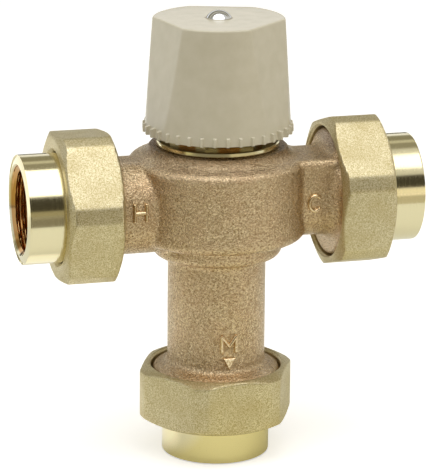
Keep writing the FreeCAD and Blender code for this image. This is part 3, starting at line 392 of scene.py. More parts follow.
def acetal():
    """White moulded acetal of the shuttle and check valves, waxy and even."""
    tree, shader, place = new_material("white_acetal")
    cloud = add(tree, "TexNoise", {"Vector": place, "Scale": 1 / (3.0 * MM)})
    fill(tree, shader, {
        "Base Color": add(tree, "Mix", {0: cloud, 6: linear("E2E2DC"), 7: linear("ECECE7")}, **COLOUR),
        "Roughness": add(tree, "MapRange", [cloud, 0.3, 0.7, 0.35, 0.45])})


def rubber():
    """Black seal rubber with a dusty bloom."""
    tree, shader, place = new_material("seal_rubber")
    bloom = add(tree, "TexNoise", {"Vector": place, "Scale": 1 / (1.2 * MM), "Detail": 3.0})
    fill(tree, shader, {
        "Base Color": add(tree, "Mix", {0: bloom, 6: linear("161616"), 7: linear("262625")}, **COLOUR),
        "Roughness": add(tree, "MapRange", [bloom, 0.3, 0.7, 0.55, 0.7])})


def fibre():
    """Red-brown fibre washers, speckled."""
    tree, shader, place = new_material("fibre_sheet")
    speck = add(tree, "TexNoise", {
        "Vector": place, "Scale": 1 / (0.5 * MM), "Detail": 4.0, "Roughness": 0.7})
    fill(tree, shader, {
        "Base Color": add(tree, "Mix", {0: speck, 6: linear("5A2E22"), 7: linear("7D4534")}, **COLOUR),
        "Roughness": 0.8,
        "Normal": add(tree, "Bump", {"Height": speck, "Distance": 0.05 * MM, "Strength": 0.6})})


FINISHES = {
    "bronze": "sand_cast_bronze", "nut_brass": "tumbled_brass", "inner_brass": "machined_brass",
    "knob_plastic": "beige_moulded_plastic", "chromed_steel": "chrome_plate",
    "stainless": "stainless_steel", "element_copper": "drawn_copper", "acetal": "white_acetal",
    "rubber": "seal_rubber", "fibre": "fibre_sheet",
}


def finish_of(slot, node):
    """The material of a node, by its slot; turned brass also by the axis it was turned about, and the
    strainers are woven."""
    if slot == "turned_brass":
        name = "turned_brass_upright" if node in ("bonnet", "mixed_tailpiece") else "turned_brass_level"
    elif node in ("hot_screen", "cold_screen"):
        name = "woven_steel_screen"
    else:
        name = FINISHES[slot]
    return bpy.data.materials[name]


def dress(obj, body, node, replace=True, finish=None):
    """Gives a new piece the finish of a CAD node, its body and, unless it only adds to it, its place."""
    slots = {part["node"]: part["material_slot"] for part in frame["record"]["subparts"]}
    obj.data.materials.append(finish or finish_of(slots[node], node))
    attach(obj, body)
    if replace:
        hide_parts(node)


# ---- Settings ----

def length(name, default, description):
    """A size whose default is in mm."""
    return bpy.props.FloatProperty(
        name=name, default=default * MM, description=description, unit="LENGTH", precision=5)


def swing(name, default, description):
    """An angle whose default is in degrees."""
    return bpy.props.FloatProperty(
        name=name, default=math.radians(default), description=description, subtype="ANGLE")


def power(name, default, description):
    """The power of a lamp in W."""
    return bpy.props.FloatProperty(name=name, default=default, description=description, unit="POWER")


def tint(name, code, description):
    """A colour whose default is an sRGB hex code."""
    return bpy.props.FloatVectorProperty(
        name=name, default=linear(code), description=description, subtype="COLOR", size=4, min=0, max=1)


class FinishSettings(bpy.types.PropertyGroup):
    # Bronze grain colours: painted shade in the grain's hollows and painted highlights on its high grains
    bronze_pits_painted_shade: tint("Bronze Pits", "AA8F67", "Pits of the casting's grain")
    bronze_grains_painted_highlight: tint("Bronze Grains", "F8E2BC", "High grains of the casting")
    nut_dark: tint("Nut Dark", "B5A470", "Etched grain of the nuts")
    nut_light: tint("Nut Light", "EBE1BF", "Nuts between that grain")
    turned: tint("Turned", "EFE5BC", "Bright turned brass")
    # painted shade and reflection deep in the tapped bores
    bore: tint("Bore", "D2A262", "Tapped bores")
    knob_dark: tint("Knob Dark", "D4CCB4", "Darker clouds of the knob")
    knob_light: tint("Knob Light", "DAD2BC", "Paler clouds of the knob")


class CastingSettings(bpy.types.PropertyGroup):
    grain: length("Remesh", 0.72, "Size of the casting's mesh")
    soften: bpy.props.IntProperty(name="Soften", default=2, description="Passes that round its creases")
    relax: bpy.props.FloatProperty(name="Relax", default=0.5, description="Strength of each pass")
    thread_top: length("Thread Top", 19.45, "Radius of the union thread's crests")
    thread_pitch: length("Thread Pitch", 2.309, "Pitch of the union thread")
    thread_depth: length("Thread Depth", 1.45, "Height of the union thread")
    stroke: length("Stroke", 1.15, "Width of the cast letters' strokes")
    proud: length("Proud", 0.9, "How far the letters stand out")


class NutSettings(bpy.types.PropertyGroup):
    flats: length("Flats", 43.3, "Across the flats")
    corners: length("Corners", 47.3, "Across the cut-off corners")
    chamfer_r: length("Chamfer Radius", 20.7, "Circle where the end chamfers start")
    chamfer: length("Chamfer", 1.3, "Height of an end chamfer at the corners")
    blend: length("Edge", 0.2, "Rounding of the edges")
    lip_r: length("Lip Radius", 16.6, "Hole round the tailpiece")
    lip: length("Lip", 3.0, "Thickness of the lip")
    bore_r: length("Bore Radius", 19.75, "Bore round the union thread")
    hot_turn: swing("Hot Turn", 23.3, "Turn of the hot nut")
    cold_turn: swing("Cold Turn", 48.7, "Turn of the cold nut")
    mixed_turn: swing("Mixed Turn", 64.4, "Turn of the mixed nut")


class TailSettings(bpy.types.PropertyGroup):
    outside: length("Outside Radius", 16.3, "Outside of the tailpiece")
    edge: length("Edge", 0.8, "Rounding of the outer end edge")
    mouth: length("Mouth Radius", 13.6, "Chamfer that leads into the thread")
    tapped: length("Tapped Depth", 14.0, "Length of the pipe thread")
    way: length("Waterway", 9.6, "Radius of the way behind the thread")
    shoulder: length("Shoulder", 19.1, "Radius of the shoulder that the nut holds")
    shoulder_out: length("Shoulder Depth", 13.8, "End face to the shoulder")
    shoulder_in: length("Gasket Depth", 17.0, "End face to the gasket's face")
    pitch: length("Pitch", 1.814, "Pitch of the pipe thread")
    depth: length("Depth", 1.16, "Height of the pipe thread")


class KnobSettings(bpy.types.PropertyGroup):
    base: length("Base Radius", 21.75, "Radius at the rim")
    top: length("Top Radius", 19.6, "Radius at the top")
    foot: length("Foot", 1.2, "Upright part of the rim")
    flat: length("Flat", 17.0, "Axis to a finger flat, at the top")
    run_out: length("Run Out", -0.55, "How far a flat's plane lies outside the rim at the foot")
    flat_turn: swing("Flat Turn", 72.2, "Turn of the first flat")
    edge: length("Edge", 0.6, "Rounding of the top edge")
    blend: length("Blend", 0.08, "Rounding where the flats cut the cone")
    ribs: bpy.props.IntProperty(name="Ribs", default=36, description="Number of grip ribs")
    rib_turn: swing("Rib Turn", 2.4, "Turn of the first rib")
    rib_height: length("Rib Height", 2.7, "Height of a rib")
    rib_width: length("Rib Width", 1.0, "Width of a rib")
    rib_proud: length("Rib Proud", 0.75, "How far a rib stands out")
    recess_r: length("Recess Radius", 4.0, "Recess of the cap screw")
    recess: length("Recess", 0.35, "Depth of that recess")
    wall: length("Wall", 1.9, "Thickness of the side wall")
    roof: length("Roof", 2.6, "Thickness of the roof")
    hole_r: length("Hole Radius", 1.85, "Hole of the cap screw")
    bore_r: length("Bore Radius", 4.1, "Hub's hole")
    hub_r: length("Hub Radius", 6.6, "Outside of the hub")
    hub: length("Hub Depth", 11.0, "Length of the hub")


class StudioSettings(bpy.types.PropertyGroup):
    azimuth: swing("Azimuth", 15.46, "Camera to the left of the front")
    elevation: swing("Elevation", 16.03, "Camera's height angle")
    roll: swing("Roll", 0.55, "Camera's roll")
    distance: length("Distance", 858.2, "Camera to its aim")
    aim: length("Aim", 66.93, "Height of the camera's aim")
    lens: bpy.props.FloatProperty(name="Lens", default=217.46, description="Focal length", unit="CAMERA")
    key: power("Key", 2.9, "Big soft light overhead")
    right_card: power("Right Card", 0.26, "Low light at the right")
    left_card: power("Left Card", 0.15, "Low light at the left")


# ---- Casting ----

def build_casting(scene):
    """A copy of the body's solid, its bosses brought down to the thread roots, remeshed and relaxed so
    that creases turn soft as they do in sand."""
    settings = scene.valve_casting
    source = frame["nodes"]["valve_body"]
    mesh = source.data.copy()
    tidy(mesh, 0.01 * MM)
    under_thread = 0.1 * MM
    bare_bosses(mesh, settings.thread_top - settings.thread_depth - under_thread)
    mesh.materials.clear()
    obj = bpy.data.objects.new("casting", mesh)
    scene.collection.objects.link(obj)
    remesh = obj.modifiers.new("remesh", "REMESH")
    remesh.mode = "VOXEL"
    remesh.voxel_size = settings.grain
    relax = obj.modifiers.new("relax", "SMOOTH")
    relax.factor = settings.relax
    relax.iterations = settings.soften
    baked = bpy.data.meshes.new_from_object(obj.evaluated_get(bpy.context.evaluated_depsgraph_get()))
    obj.modifiers.clear()
    obj.data = baked
    smooth(baked, 180)
    dress(obj, "valve_body", "valve_body")


def bare_bosses(mesh, root):
    """Brings the vertices of the union threads in to a root radius."""
    points = np.empty(len(mesh.vertices) * 3)
    mesh.vertices.foreach_get("co", points)
    points = points.reshape(-1, 3)
    for name in PORTS:
        port = Port(name)
        start, stop = boss_depths(port)
        away = points - port.origin
        depth = away @ port.inward
        out = away - depth[:, None] * port.inward
        r = np.linalg.norm(out, axis=1)
        on_thread = (depth > start - MM) & (depth < stop + 0.01 * MM) & (r > root)
        shrink = np.where(on_thread, root / np.maximum(r, root), 1.0)[:, None]
        points = port.origin + depth[:, None] * port.inward + out * shrink
    mesh.vertices.foreach_set("co", points.ravel())
    mesh.update()


def boss_depths(port):
    """Depths of the union thread: from the gasket to the fillet at the boss's root."""
    start = port.depths(port.name + "_gasket")[1]
    return start, start + BOSS_LENGTH - BOSS_FILLET


def build_threads(scene):
    """Union threads on the bosses: r = root + height * V(s / pitch - angle / turn), faded at both ends.
    Each is a sleeve whose inner side lies buried in the boss."""
    settings = scene.valve_casting
    root, buried = settings.thread_top - settings.thread_depth, 1.2 * MM
    lead_in, lead_out = 1.0 * MM, 0.8 * MM
    angle = turns(200)[:, None]
    for name in PORTS:
        port = Port(name)
        start, stop = boss_depths(port)
        s = np.linspace(start, stop, 52)[None, :]
        fade = ease((s - start) / lead_in) * ease((stop - s) / lead_out)
        r = root + settings.thread_depth * thread(s, angle, settings.thread_pitch) * fade
        inner_r = np.full((len(angle), 2), root - buried)
        inner_s = np.broadcast_to([[stop, start]], inner_r.shape)
        outline_s = np.concatenate([np.broadcast_to(s, r.shape), inner_s], 1)
        sleeve = port.place(outline_s, np.concatenate([r, inner_r], 1), angle)
        obj = closed_grids(name + "_union_thread", [sleeve], 50)
        dress(obj, "valve_body", "valve_body", replace=False)


# ---- Cast marks ----

# In mm: the arms' axis and flat front, the tube, and each arm's edges as height off the axis and rounding.
ARM_AXIS, ARM_FRONT, TUBE_R = 79.1, 15.0, 14.75
HOT_BELLY, HOT_CROWN = (14.05, 11.0), (13.5, 12.5)
COLD_BELLY, COLD_CROWN = (11.85, 11.0), (13.5, 1.8)


def arm_front(z, belly, crown):
    """The y of an arm's front at height z off the axis: flat, less the circles that round its edges."""
    over = np.maximum(z - (crown[0] - crown[1]), 0)
    under = np.maximum((belly[1] - belly[0]) - z, 0)
    dip_over = crown[1] - np.sqrt(np.maximum(crown[1] ** 2 - over ** 2, 0))
    dip_under = belly[1] - np.sqrt(np.maximum(belly[1] ** 2 - under ** 2, 0))
    return -(ARM_FRONT - dip_over - dip_under)


def hot_face(u, v):
    """Hot arm's front as (x, y, z) in mm, u along it and v up."""
    return np.stack([u, arm_front(v - ARM_AXIS, HOT_BELLY, HOT_CROWN), v], -1)


def cold_face(u, v):
    """Cold arm's front, whose upper edge is tighter."""
    return np.stack([u, arm_front(v - ARM_AXIS, COLD_BELLY, COLD_CROWN), v], -1)


def tube_face(u, v):
    """Outlet tube's front, u running round it."""
    return np.stack([TUBE_R * np.sin(u / TUBE_R), -TUBE_R * np.cos(u / TUBE_R), v], -1)


def ridge(face, path, width, proud):
    """Rounded stroke along a path (u, v) on a face: an ellipse across the path, width by twice proud,
    that closes over its ends like a half dome."""
    path = np.array(path, float)
    legs = np.linalg.norm(np.diff(path, axis=0), axis=1)
    at = np.concatenate([[0], np.cumsum(legs)])
    total, cap = at[-1], width / 2
    t = np.linspace(0, 1, 40)
    along = np.interp(t, [0, 0.2, 0.8, 1], [-cap, cap * 0.4, total - cap * 0.4, total + cap])
    inside = np.clip(along, 0, total)
    beyond = np.abs(along - inside) / cap
    scale = np.sqrt(np.maximum(1 - beyond ** 2, 0))
    centre = np.stack([np.interp(inside, at, path[:, 0]), np.interp(inside, at, path[:, 1])], -1)
    step = np.gradient(np.stack([np.interp(along, at, path[:, k]) for k in (0, 1)], -1), axis=0)
    step = np.where(np.abs(step).sum(1, keepdims=True) < 1e-9, np.nan, step)
    heading = filled(step / np.linalg.norm(step, axis=1, keepdims=True))
    centre = centre + heading * (along - inside)[:, None]
    side = np.stack([-heading[:, 1], heading[:, 0]], -1)
    turn = turns(20)
    flat = centre[:, None] + side[:, None] * (np.cos(turn)[None, :, None] * cap * scale[:, None, None])
    u, v = flat[..., 0], flat[..., 1]
    lift = np.sin(turn)[None, :] * proud * scale[:, None]
    return (face(u, v) + face_normal(face, u, v) * lift[..., None]) * MM


def filled(rows):
    """Rows with their gaps filled from the nearest row that has a value."""
    good = np.where(~np.isnan(rows[:, 0]))[0]
    nearest = good[np.abs(np.arange(len(rows))[:, None] - good[None, :]).argmin(1)]
    return rows[nearest]


def face_normal(face, u, v):
    """Outward unit normals of a face, from its slopes."""
    d = 1e-3
    n = np.cross(face(u + d, v) - face(u - d, v), face(u, v + d) - face(u, v - d))
    return n / np.linalg.norm(n, axis=-1, keepdims=True)


def arrowhead(face, top, tip, half, proud):
    """Triangle that points down: rings of its outline, drawn in towards its middle as they rise."""
    points = np.array([(-half, top), (half, top), (0, tip)])
    t = np.linspace(0, 3, 36, endpoint=False)
    start = t.astype(int)
    outline = points[start] + (points[(start + 1) % 3] - points[start]) * (t - start)[:, None]
    middle = points.mean(0)
    shrink = np.array([0, 1.0, 1.0, 0.92, 0.75, 0])
    lift = np.array([-0.4, -0.4, 0, 0.75, 1.0, 1.0]) * proud
    spot = middle + (outline - middle)[:, None] * shrink[None, :, None]
    u, v = spot[..., 0], spot[..., 1]
    return (face(u, v) + face_normal(face, u, v) * lift[None, :, None]) * MM


def letter_h(u, v, half, tall):
    """Paths of an H about (u, v)."""
    posts = [[(side, v - tall), (side, v + tall)] for side in (u - half, u + half)]
    return posts + [[(u - half, v), (u + half, v)]]


def letter_c(u, v, half, tall):
    """Path of a C: a bow of an ellipse, open to the right."""
    turn = np.radians(np.linspace(48, 312, 40))
    return [np.stack([u + half * np.cos(turn), v + tall * np.sin(turn)], -1)]


def letter_m(u, v, half, tall):
    """Paths of an M, whose middle reaches down to 0.6 below (u, v)."""
    low, high = v - tall, v + tall
    bends = [(u - half, low), (u - half, high), (u, v - 0.6), (u + half, high), (u + half, low)]
    return [bends[k:k + 2] for k in range(4)]


def build_marks(scene):
    """Cast H, C and M for hot, cold and mixed, and the arrowhead that shows the way out."""
    settings = scene.valve_casting
    width, proud = settings.stroke / MM, settings.proud / MM
    letters = {
        "mark_hot": (hot_face, letter_h(-27.3, 80.0, 1.75, 2.3)),
        "mark_cold": (cold_face, letter_c(26.0, 79.7, 1.8, 2.3)),
        "mark_mixed": (tube_face, letter_m(0, 37.6, 2.15, 2.4)),
    }
    marks = {name: [ridge(face, path, width, proud) for path in paths]
             for name, (face, paths) in letters.items()}
    marks["mark_mixed"].append(arrowhead(tube_face, 33.4, 29.4, 1.9, proud))
    # the letters get a paler bronze as a painted highlight
    painted_highlight_finish = bpy.data.materials["rubbed_bronze"]
    for name, grids in marks.items():
        obj = closed_grids(name, grids, 32)
        dress(obj, "valve_body", "valve_body", replace=False, finish=painted_highlight_finish)


# ---- Nuts and tailpieces ----

def build_nuts(scene):
    """Union nuts: the least of six flats, six corner flats and two end cones, rounded where they meet:
    flat r = half width / cos(angle from its middle), cone r = start + depth / slope."""
    settings = scene.valve_nuts
    slope = settings.chamfer / (settings.corners / 2 - settings.chamfer_r)
    sixth = TAU / 6
    margin, end_gap, lead, break_edge = 0.12 * MM, 0.45 * MM, 0.8 * MM, 1.0 * MM
    round_edge, round_lip = 0.15 * MM, 0.2 * MM
    angle = turns(720)[:, None]
    ring = np.ones((len(angle), 1))
    for name in PORTS:
        port = Port(name)
        start, stop = port.depths(name + "_nut")
        spread = 0.5 - 0.5 * np.cos(math.pi * np.linspace(0, 1, 34))[None, :]
        s = np.clip(start + (stop - start) * spread, start + margin, stop - margin)
        turned = angle - getattr(settings, name + "_turn")
        r = smooth_least(
            settings.flats / 2 / np.cos(wrapped(turned - sixth / 2, sixth)),
            settings.corners / 2 / np.cos(wrapped(turned, sixth)),
            settings.chamfer_r + (s - start) / slope, settings.chamfer_r + (stop - s) / slope,
            blend=settings.blend)
        ends = ring * (settings.chamfer_r - end_gap)
        lip_in = start + settings.lip
        inner = softened([
            (stop, settings.bore_r + lead, round_edge), (stop - lead, settings.bore_r, round_edge),
            (lip_in, settings.bore_r, round_lip), (lip_in, settings.lip_r, round_lip),
            (start + break_edge, settings.lip_r, round_edge),
            (start, settings.lip_r + break_edge, round_edge)], 5)
        outline_s = np.concatenate(
            [ring * start, np.broadcast_to(s, r.shape), ring * stop, ring * inner[:, 0]], 1)
        outline_r = np.concatenate([ends, r, ends, ring * inner[:, 1]], 1)
        obj = closed_grids(name + "_union_nut", [port.place(outline_s, outline_r, angle)], 40)
        dress(obj, name + "_nut", name + "_nut")


def build_tails(scene):
    """Tailpieces: a turned outline, and inside it a pipe thread cut outwards from its tapping bore:
    r = bore + height * V(s / pitch - angle / turn), opened out by the mouth's 45 degree chamfer."""
    settings = scene.valve_tails
    bores = [m["dims"]["r_mm"] * MM for m in frame["record"]["mounts"] if m["kind"] == "bore"]
    run_out, round_edge, lip_width = 2.5 * MM, 0.3 * MM, 0.25 * MM
    angle = turns(256)[:, None]
    ring = np.ones((len(angle), 1))
    s = np.linspace(settings.tapped, 0.0, 120)[None, :]
    for name, bore in zip(PORTS, bores):
        fade = ease((settings.tapped - s) / run_out)
        cut = bore + settings.depth * thread(s, angle, settings.pitch) * fade
        r = np.maximum(cut, settings.mouth - s)
        step = (bore - settings.way) / 2
        outer = softened([
            (0, settings.outside, settings.edge), (settings.shoulder_out, settings.outside, round_edge),
            (settings.shoulder_out, settings.shoulder, round_edge),
            (settings.shoulder_in, settings.shoulder, round_edge),
            (settings.shoulder_in, settings.way, round_edge),
            (settings.tapped + step, settings.way, round_edge)], 6)
        lip = ring * (settings.mouth + lip_width)
        outline_s = np.concatenate([np.broadcast_to(s, r.shape), ring * 0, ring * outer[:, 0]], 1)
        outline_r = np.concatenate([r, lip, ring * outer[:, 1]], 1)
        obj = closed_grids(name + "_tail", [Port(name).place(outline_s, outline_r, angle)], 35)
        dress(obj, name + "_union", name + "_tailpiece")


# ---- Knob ----

class KnobShape:
    """The knob's sizes as plain numbers, with its rim and full height taken from the solid."""

    def __init__(self, settings):
        low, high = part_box("knob")
        self.rim, self.full = low.z, high.z - low.z
        for key in KnobSettings.__annotations__:
            setattr(self, key, getattr(settings, key))


def knob_side(knob, angle, up, inset=0.0):
    """Radius of the knob at a height above its rim: the least of a tapered cone and three flats that
    lean in towards the top, each at flat distance / cos(angle from its middle)."""
    taper = np.clip((up - knob.foot) / (knob.full - knob.foot), 0, 1)
    cone = knob.base + (knob.top - knob.base) * taper - inset
    plane = knob.flat + (knob.base + knob.run_out - knob.flat) * (1 - up / knob.full) - inset
    away = wrapped(angle - knob.flat_turn, TAU / 3)
    return smooth_least(cone, plane / np.cos(away), blend=knob.blend)


def knob_angles(knob):
    """Angles round the knob as a column, close together across each rib."""
    across = np.concatenate([
        np.linspace(-0.5, -0.21, 5), np.linspace(-0.19, 0.19, 17), np.linspace(0.21, 0.46, 4)])
    angle = (np.arange(knob.ribs)[:, None] + across) * (TAU / knob.ribs) + knob.rib_turn
    return angle.reshape(-1, 1)


def knob_heights(knob):
    """Heights of the side as a row, close together at the tops of the ribs."""
    margin = 0.12 * MM
    return np.concatenate([
        np.linspace(margin, knob.rib_height - 0.5 * MM, 5),
        knob.rib_height + np.linspace(-0.4, 0.15, 8) * MM,
        np.linspace(knob.rib_height + 0.6 * MM, knob.full - knob.edge, 16)])[None, :]


def ribbed_side(knob, angle, up):
    """Radius of the side with its ribs, which stand on a root just inside the rim where a flat cuts in.
    A rib is its height out times a smooth step over its flanks and another over its top."""
    flank, top, root_in = 0.3 * MM, 0.35 * MM, 0.1 * MM
    off = np.abs(wrapped(angle - knob.rib_turn, TAU / knob.ribs)) * knob.base
    rib = ease((knob.rib_width / 2 - off) / flank + 0.4) * ease((knob.rib_height - up) / top + 0.1)
    root = (knob.base - root_in) * (rib > 0)
    return np.maximum(knob_side(knob, angle, up), root) + knob.rib_proud * rib


def knob_crown(knob, angle):
    """Radii and heights over the top: a quadratic curve round the edge, the flat top, the screw's recess
    and hole, and the roof's underside."""
    t = np.linspace(0, 1, 9)[None, 1:]
    corner = knob_side(knob, angle, knob.full)
    start = knob_side(knob, angle, knob.full - knob.edge)
    edge_r = (1 - t) ** 2 * start + 2 * t * (1 - t) * corner + t ** 2 * (corner - knob.edge)
    edge_up = knob.full - knob.edge * (1 - t) ** 2
    break_edge, floor, ceiling = 0.15 * MM, knob.full - knob.recess, knob.full - knob.roof
    recess = np.array([
        (12.0 * MM, knob.full), (knob.recess_r + break_edge, knob.full),
        (knob.recess_r, knob.full - break_edge), (knob.recess_r, floor), (knob.hole_r, floor),
        (knob.hole_r, ceiling), (knob.base / 2, ceiling)])
    ring = np.ones_like(angle)
    radius = np.concatenate([edge_r, ring * recess[:, 0]], 1)
    return radius, np.concatenate([ring * edge_up, ring * recess[:, 1]], 1)


def build_knob(scene):
    """Knob: its side with grip ribs, a rounded top edge, the flat top with the screw's recess, and the
    hollow under it with a hub on six webs."""
    knob = KnobShape(scene.valve_knob)
    angle, up = knob_angles(knob), knob_heights(knob)
    side = ribbed_side(knob, angle, up)
    crown_r, crown_up = knob_crown(knob, angle)
    ceiling, break_ceiling, break_foot = knob.full - knob.roof, 0.6 * MM, 0.12 * MM
    inner_up = np.array([ceiling, ceiling, knob.full / 2, knob.foot, 0.0]) + 0 * angle
    inner_r = knob_side(knob, angle, inner_up, knob.wall)
    inner_r[:, 0] -= break_ceiling
    foot_r = side[:, :1] - break_foot
    radius = np.concatenate([foot_r, side, crown_r, inner_r], 1)
    rise = np.concatenate([0 * foot_r, up + 0 * side, crown_up, inner_up], 1)
    shell = np.stack([radius * np.cos(angle), radius * np.sin(angle), knob.rim + rise], -1)
    obj = closed_grids("grip_knob", [shell, knob_hub(knob)] + knob_webs(knob), 35)
    dress(obj, "knob", "knob")


def knob_hub(knob):
    """Hub under the roof: a tube round the spindle, let into the roof."""
    roof, let_in = knob.rim + knob.full - knob.roof, 0.4 * MM
    outline = softened([
        (roof - knob.hub, knob.bore_r, 0.2 * MM), (roof - knob.hub, knob.hub_r, 0.4 * MM),
        (roof + let_in, knob.hub_r, 0), (roof + let_in, knob.bore_r, 0)], 4)
    angle = turns(64)[:, None]
    z, r = outline[:, 0], outline[:, 1]
    return np.stack([r * np.cos(angle), r * np.sin(angle), z + 0 * angle], -1)


def knob_webs(knob):
    """Six webs from the hub to the wall, let into both, each a block swept along its length."""
    roof, let_in = knob.rim + knob.full - knob.roof, 0.4 * MM
    low, half = roof - knob.hub + 3.0 * MM, 0.7 * MM
    wall_up = roof - knob.rim - 8 * MM
    shut = np.array([0.0, 1.0, 1.0, 0.0])[:, None]
    side = np.array([-half, half, half, -half]) * shut
    rise = low + (roof + let_in - low) * (0.5 + np.array([-0.5, -0.5, 0.5, 0.5]) * shut)
    webs = []
    for turn in knob.flat_turn + math.pi / 6 + turns(6):
        wall = float(knob_side(knob, turn, wall_up, knob.wall)) + let_in
        along = np.array([knob.hub_r - let_in, knob.hub_r - let_in, wall, wall])[:, None]
        x = along * math.cos(turn) - side * math.sin(turn)
        y = along * math.sin(turn) + side * math.cos(turn)
        webs.append(np.stack([x, y, rise], -1))
    return webs


# ---- Finishes and studio ----

def build_finishes(scene):
    """Every material, given to the slots of the CAD nodes that stay in view."""
    colours = scene.valve_finishes
    for make in (cast_bronze, tumbled_brass, knob_plastic):
        make(colours)
    for make in (rubbed_bronze, machined_brass, chrome, stainless, screen_mesh, element_copper, acetal,
                 rubber, fibre):
        make()
    turned_brass(colours, "turned_brass_upright", (0.0, 0.0, 1.0), (0.0, 0.0, 0.0))
    turned_brass(colours, "turned_brass_level", (1.0, 0.0, 0.0), (0.0, 0.0, Port("hot").origin[2]))
    for part in frame["record"]["subparts"]:
        node = frame["nodes"][part["node"]]
        finish = finish_of(part["material_slot"], part["node"])
        for slot in node.material_slots:
            slot.material = finish
        if not node.material_slots:
            node.data.materials.append(finish)


def build_studio(scene):
    """Camera, pale floor and white room, a big soft light overhead and a low card at each side."""
    settings = scene.valve_studio
    build_camera(scene, settings)
    build_floor(scene)
    build_room(scene)
    soft_light(scene, "key", (-0.06, -0.21, 0.7), (0.95, 0.8), settings.key, "FAFBFF", "ELLIPSE")
    soft_light(
        scene, "right_card", (0.465, -0.62, 0.11), (0.6, 0.22), settings.right_card, "FFF6E6", "RECTANGLE")
    soft_light(
        scene, "left_card", (-0.75, 0.05, 0.2), (0.5, 0.5), settings.left_card, "E2EAFF", "RECTANGLE")
    scene.view_settings.view_transform = "Standard"
    scene.view_settings.look = "None"


def build_camera(scene, settings):
    """Camera at an azimuth and elevation round its aim on the valve's axis, rolled about its own view."""
    a, e, roll = settings.azimuth, settings.elevation, settings.roll
    back = Vector((-math.sin(a) * math.cos(e), -math.cos(a) * math.cos(e), math.sin(e)))
    right = (-back).cross(Vector((0, 0, 1))).normalized()
    up = right.cross(-back)
    axes = Matrix((
        right * math.cos(roll) + up * math.sin(roll), up * math.cos(roll) - right * math.sin(roll), back))
    data = bpy.data.cameras.new("camera")
    data.sensor_width = 36.0
    data.lens = settings.lens
    data.clip_start, data.clip_end = 0.05, 20.0
    camera = bpy.data.objects.new("camera", data)
    scene.collection.objects.link(camera)
    aim = Vector((0.05 * MM, 0, settings.aim))
    camera.matrix_world = Matrix.Translation(aim + back * settings.distance) @ axes.transposed().to_4x4()
    scene.camera = camera


def soft_light(scene, name, place, size, watts, colour, shape):
    """Broad light turned to the middle of the valve, which the camera doesn't see; lengths in m."""
    data = bpy.data.lights.new(name, "AREA")
    data.shape = shape
    data.size, data.size_y = size
    data.energy = watts
    data.color = linear(colour)[:3]
    lamp = bpy.data.objects.new(name, data)
    lamp.location = place
    way = Vector((0, 0, 70 * MM)) - Vector(place)
    lamp.rotation_euler = way.to_track_quat("-Z", "Y").to_euler()
    lamp.visible_camera = False
    scene.collection.objects.link(lamp)


def floor_painted_reflection(tree, place):
    """Painted floor reflection: grey well in front, warm bounce under the valve, dull shade at the left."""
    spot = add(tree, "SeparateXYZ", [place]).node.outputs
    right = add(tree, "MapRange", [spot["X"], 0.03, 0.06])
    # painted shade: grey floor well in front, seen only in reflections
    far = add(tree, "Mix", {0: right, 6: linear("7E7866"), 7: linear("C6BEA6")}, **COLOUR)
    from_valve = add(
        tree, "VectorMath", [place, (0.02, -0.025, 0.0)], out="Value", operation="DISTANCE")
    beyond = add(tree, "MapRange", [from_valve, 0.04, 0.05])
    # painted bounce light: warm floor near the valve, seen only in reflections
    close = add(tree, "Mix", {0: beyond, 6: linear("EDE9C0"), 7: linear("F2F3EE")}, **COLOUR)
    left = add(tree, "MapRange", [spot["X"], -0.1, -0.075, 1, 0])
    forward = add(tree, "MapRange", [spot["Y"], 0.02, 0.05, 1, 0])
    edge = add(tree, "Math", [left, forward], operation="MINIMUM")
    # painted shade: dull patch at the left, seen only in reflections
    close = add(tree, "Mix", {0: edge, 6: close, 7: linear("C9C298")}, **COLOUR)
    near = add(tree, "MapRange", [spot["Y"], -0.192, -0.184])
    return add(tree, "Mix", {0: near, 6: far, 7: close}, **COLOUR)


def floor_glow(tree, place):
    """How much the floor shines into the metal: most behind the valve at the left, and in one spot beside
    the outlet. Places are in metres, as in floor_painted_reflection."""
    spot = add(tree, "SeparateXYZ", [place]).node.outputs
    back = add(tree, "MapRange", [spot["Y"], 0.21, 0.25, 0.05, 0.6])
    left = add(tree, "MapRange", [spot["X"], -0.02, 0.04, 0.6, 0.05])
    behind = add(tree, "Math", [back, left], operation="MINIMUM")
    from_spot = add(tree, "VectorMath", [place, (-0.04, 0.03, 0.0)], out="Value", operation="DISTANCE")
    beside = add(tree, "MapRange", [from_spot, 0.028, 0.042, 0.5, 0.0])
    return add(tree, "Math", [behind, beside], operation="MAXIMUM")


def build_floor(scene):
    """Pale sweep of paper. It shines a little by itself, so that it stays as white as paper is lit; the
    metal sees it in other tones than the eye."""
    half = 6.0
    mesh = bpy.data.meshes.new("floor")
    outline = [(-half, -half, 0), (half, -half, 0), (half, half, 0), (-half, half, 0)]
    mesh.from_pydata(outline, [], [(0, 1, 2, 3)])
    floor = bpy.data.objects.new("floor", mesh)
    scene.collection.objects.link(floor)
    tree, shader, place = new_material("pale_paper")
    eye = add(tree, "LightPath", out="Is Camera Ray")
    fill(tree, shader, {
        "Roughness": 1.0, "Specular IOR Level": 0.0, "Emission Color": linear("FFFFFF"),
        "Base Color": add(tree, "Mix", {0: eye, 6: floor_painted_reflection(tree, place), 7: linear("F4F3F0")}, **COLOUR),
        "Emission Strength": add(tree, "Mix", {0: eye, 2: floor_glow(tree, place), 3: 0.5})})
    mesh.materials.append(bpy.data.materials["pale_paper"])
    floor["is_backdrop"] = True


# Each band starts to change at one lift and has its own colour from the next, in degrees that run from
# straight ahead over the head to straight behind.
ROOM_BANDS = (
    (8, 10, "423E33"), (36, 40, "D8D6D0"), (101, 106, "949080"), (121, 124, "D0CCBC"),
    (130, 134, "8E8A78"), (153, 160, "FFFFFF"), (169, 174, "3C3C36"),
)


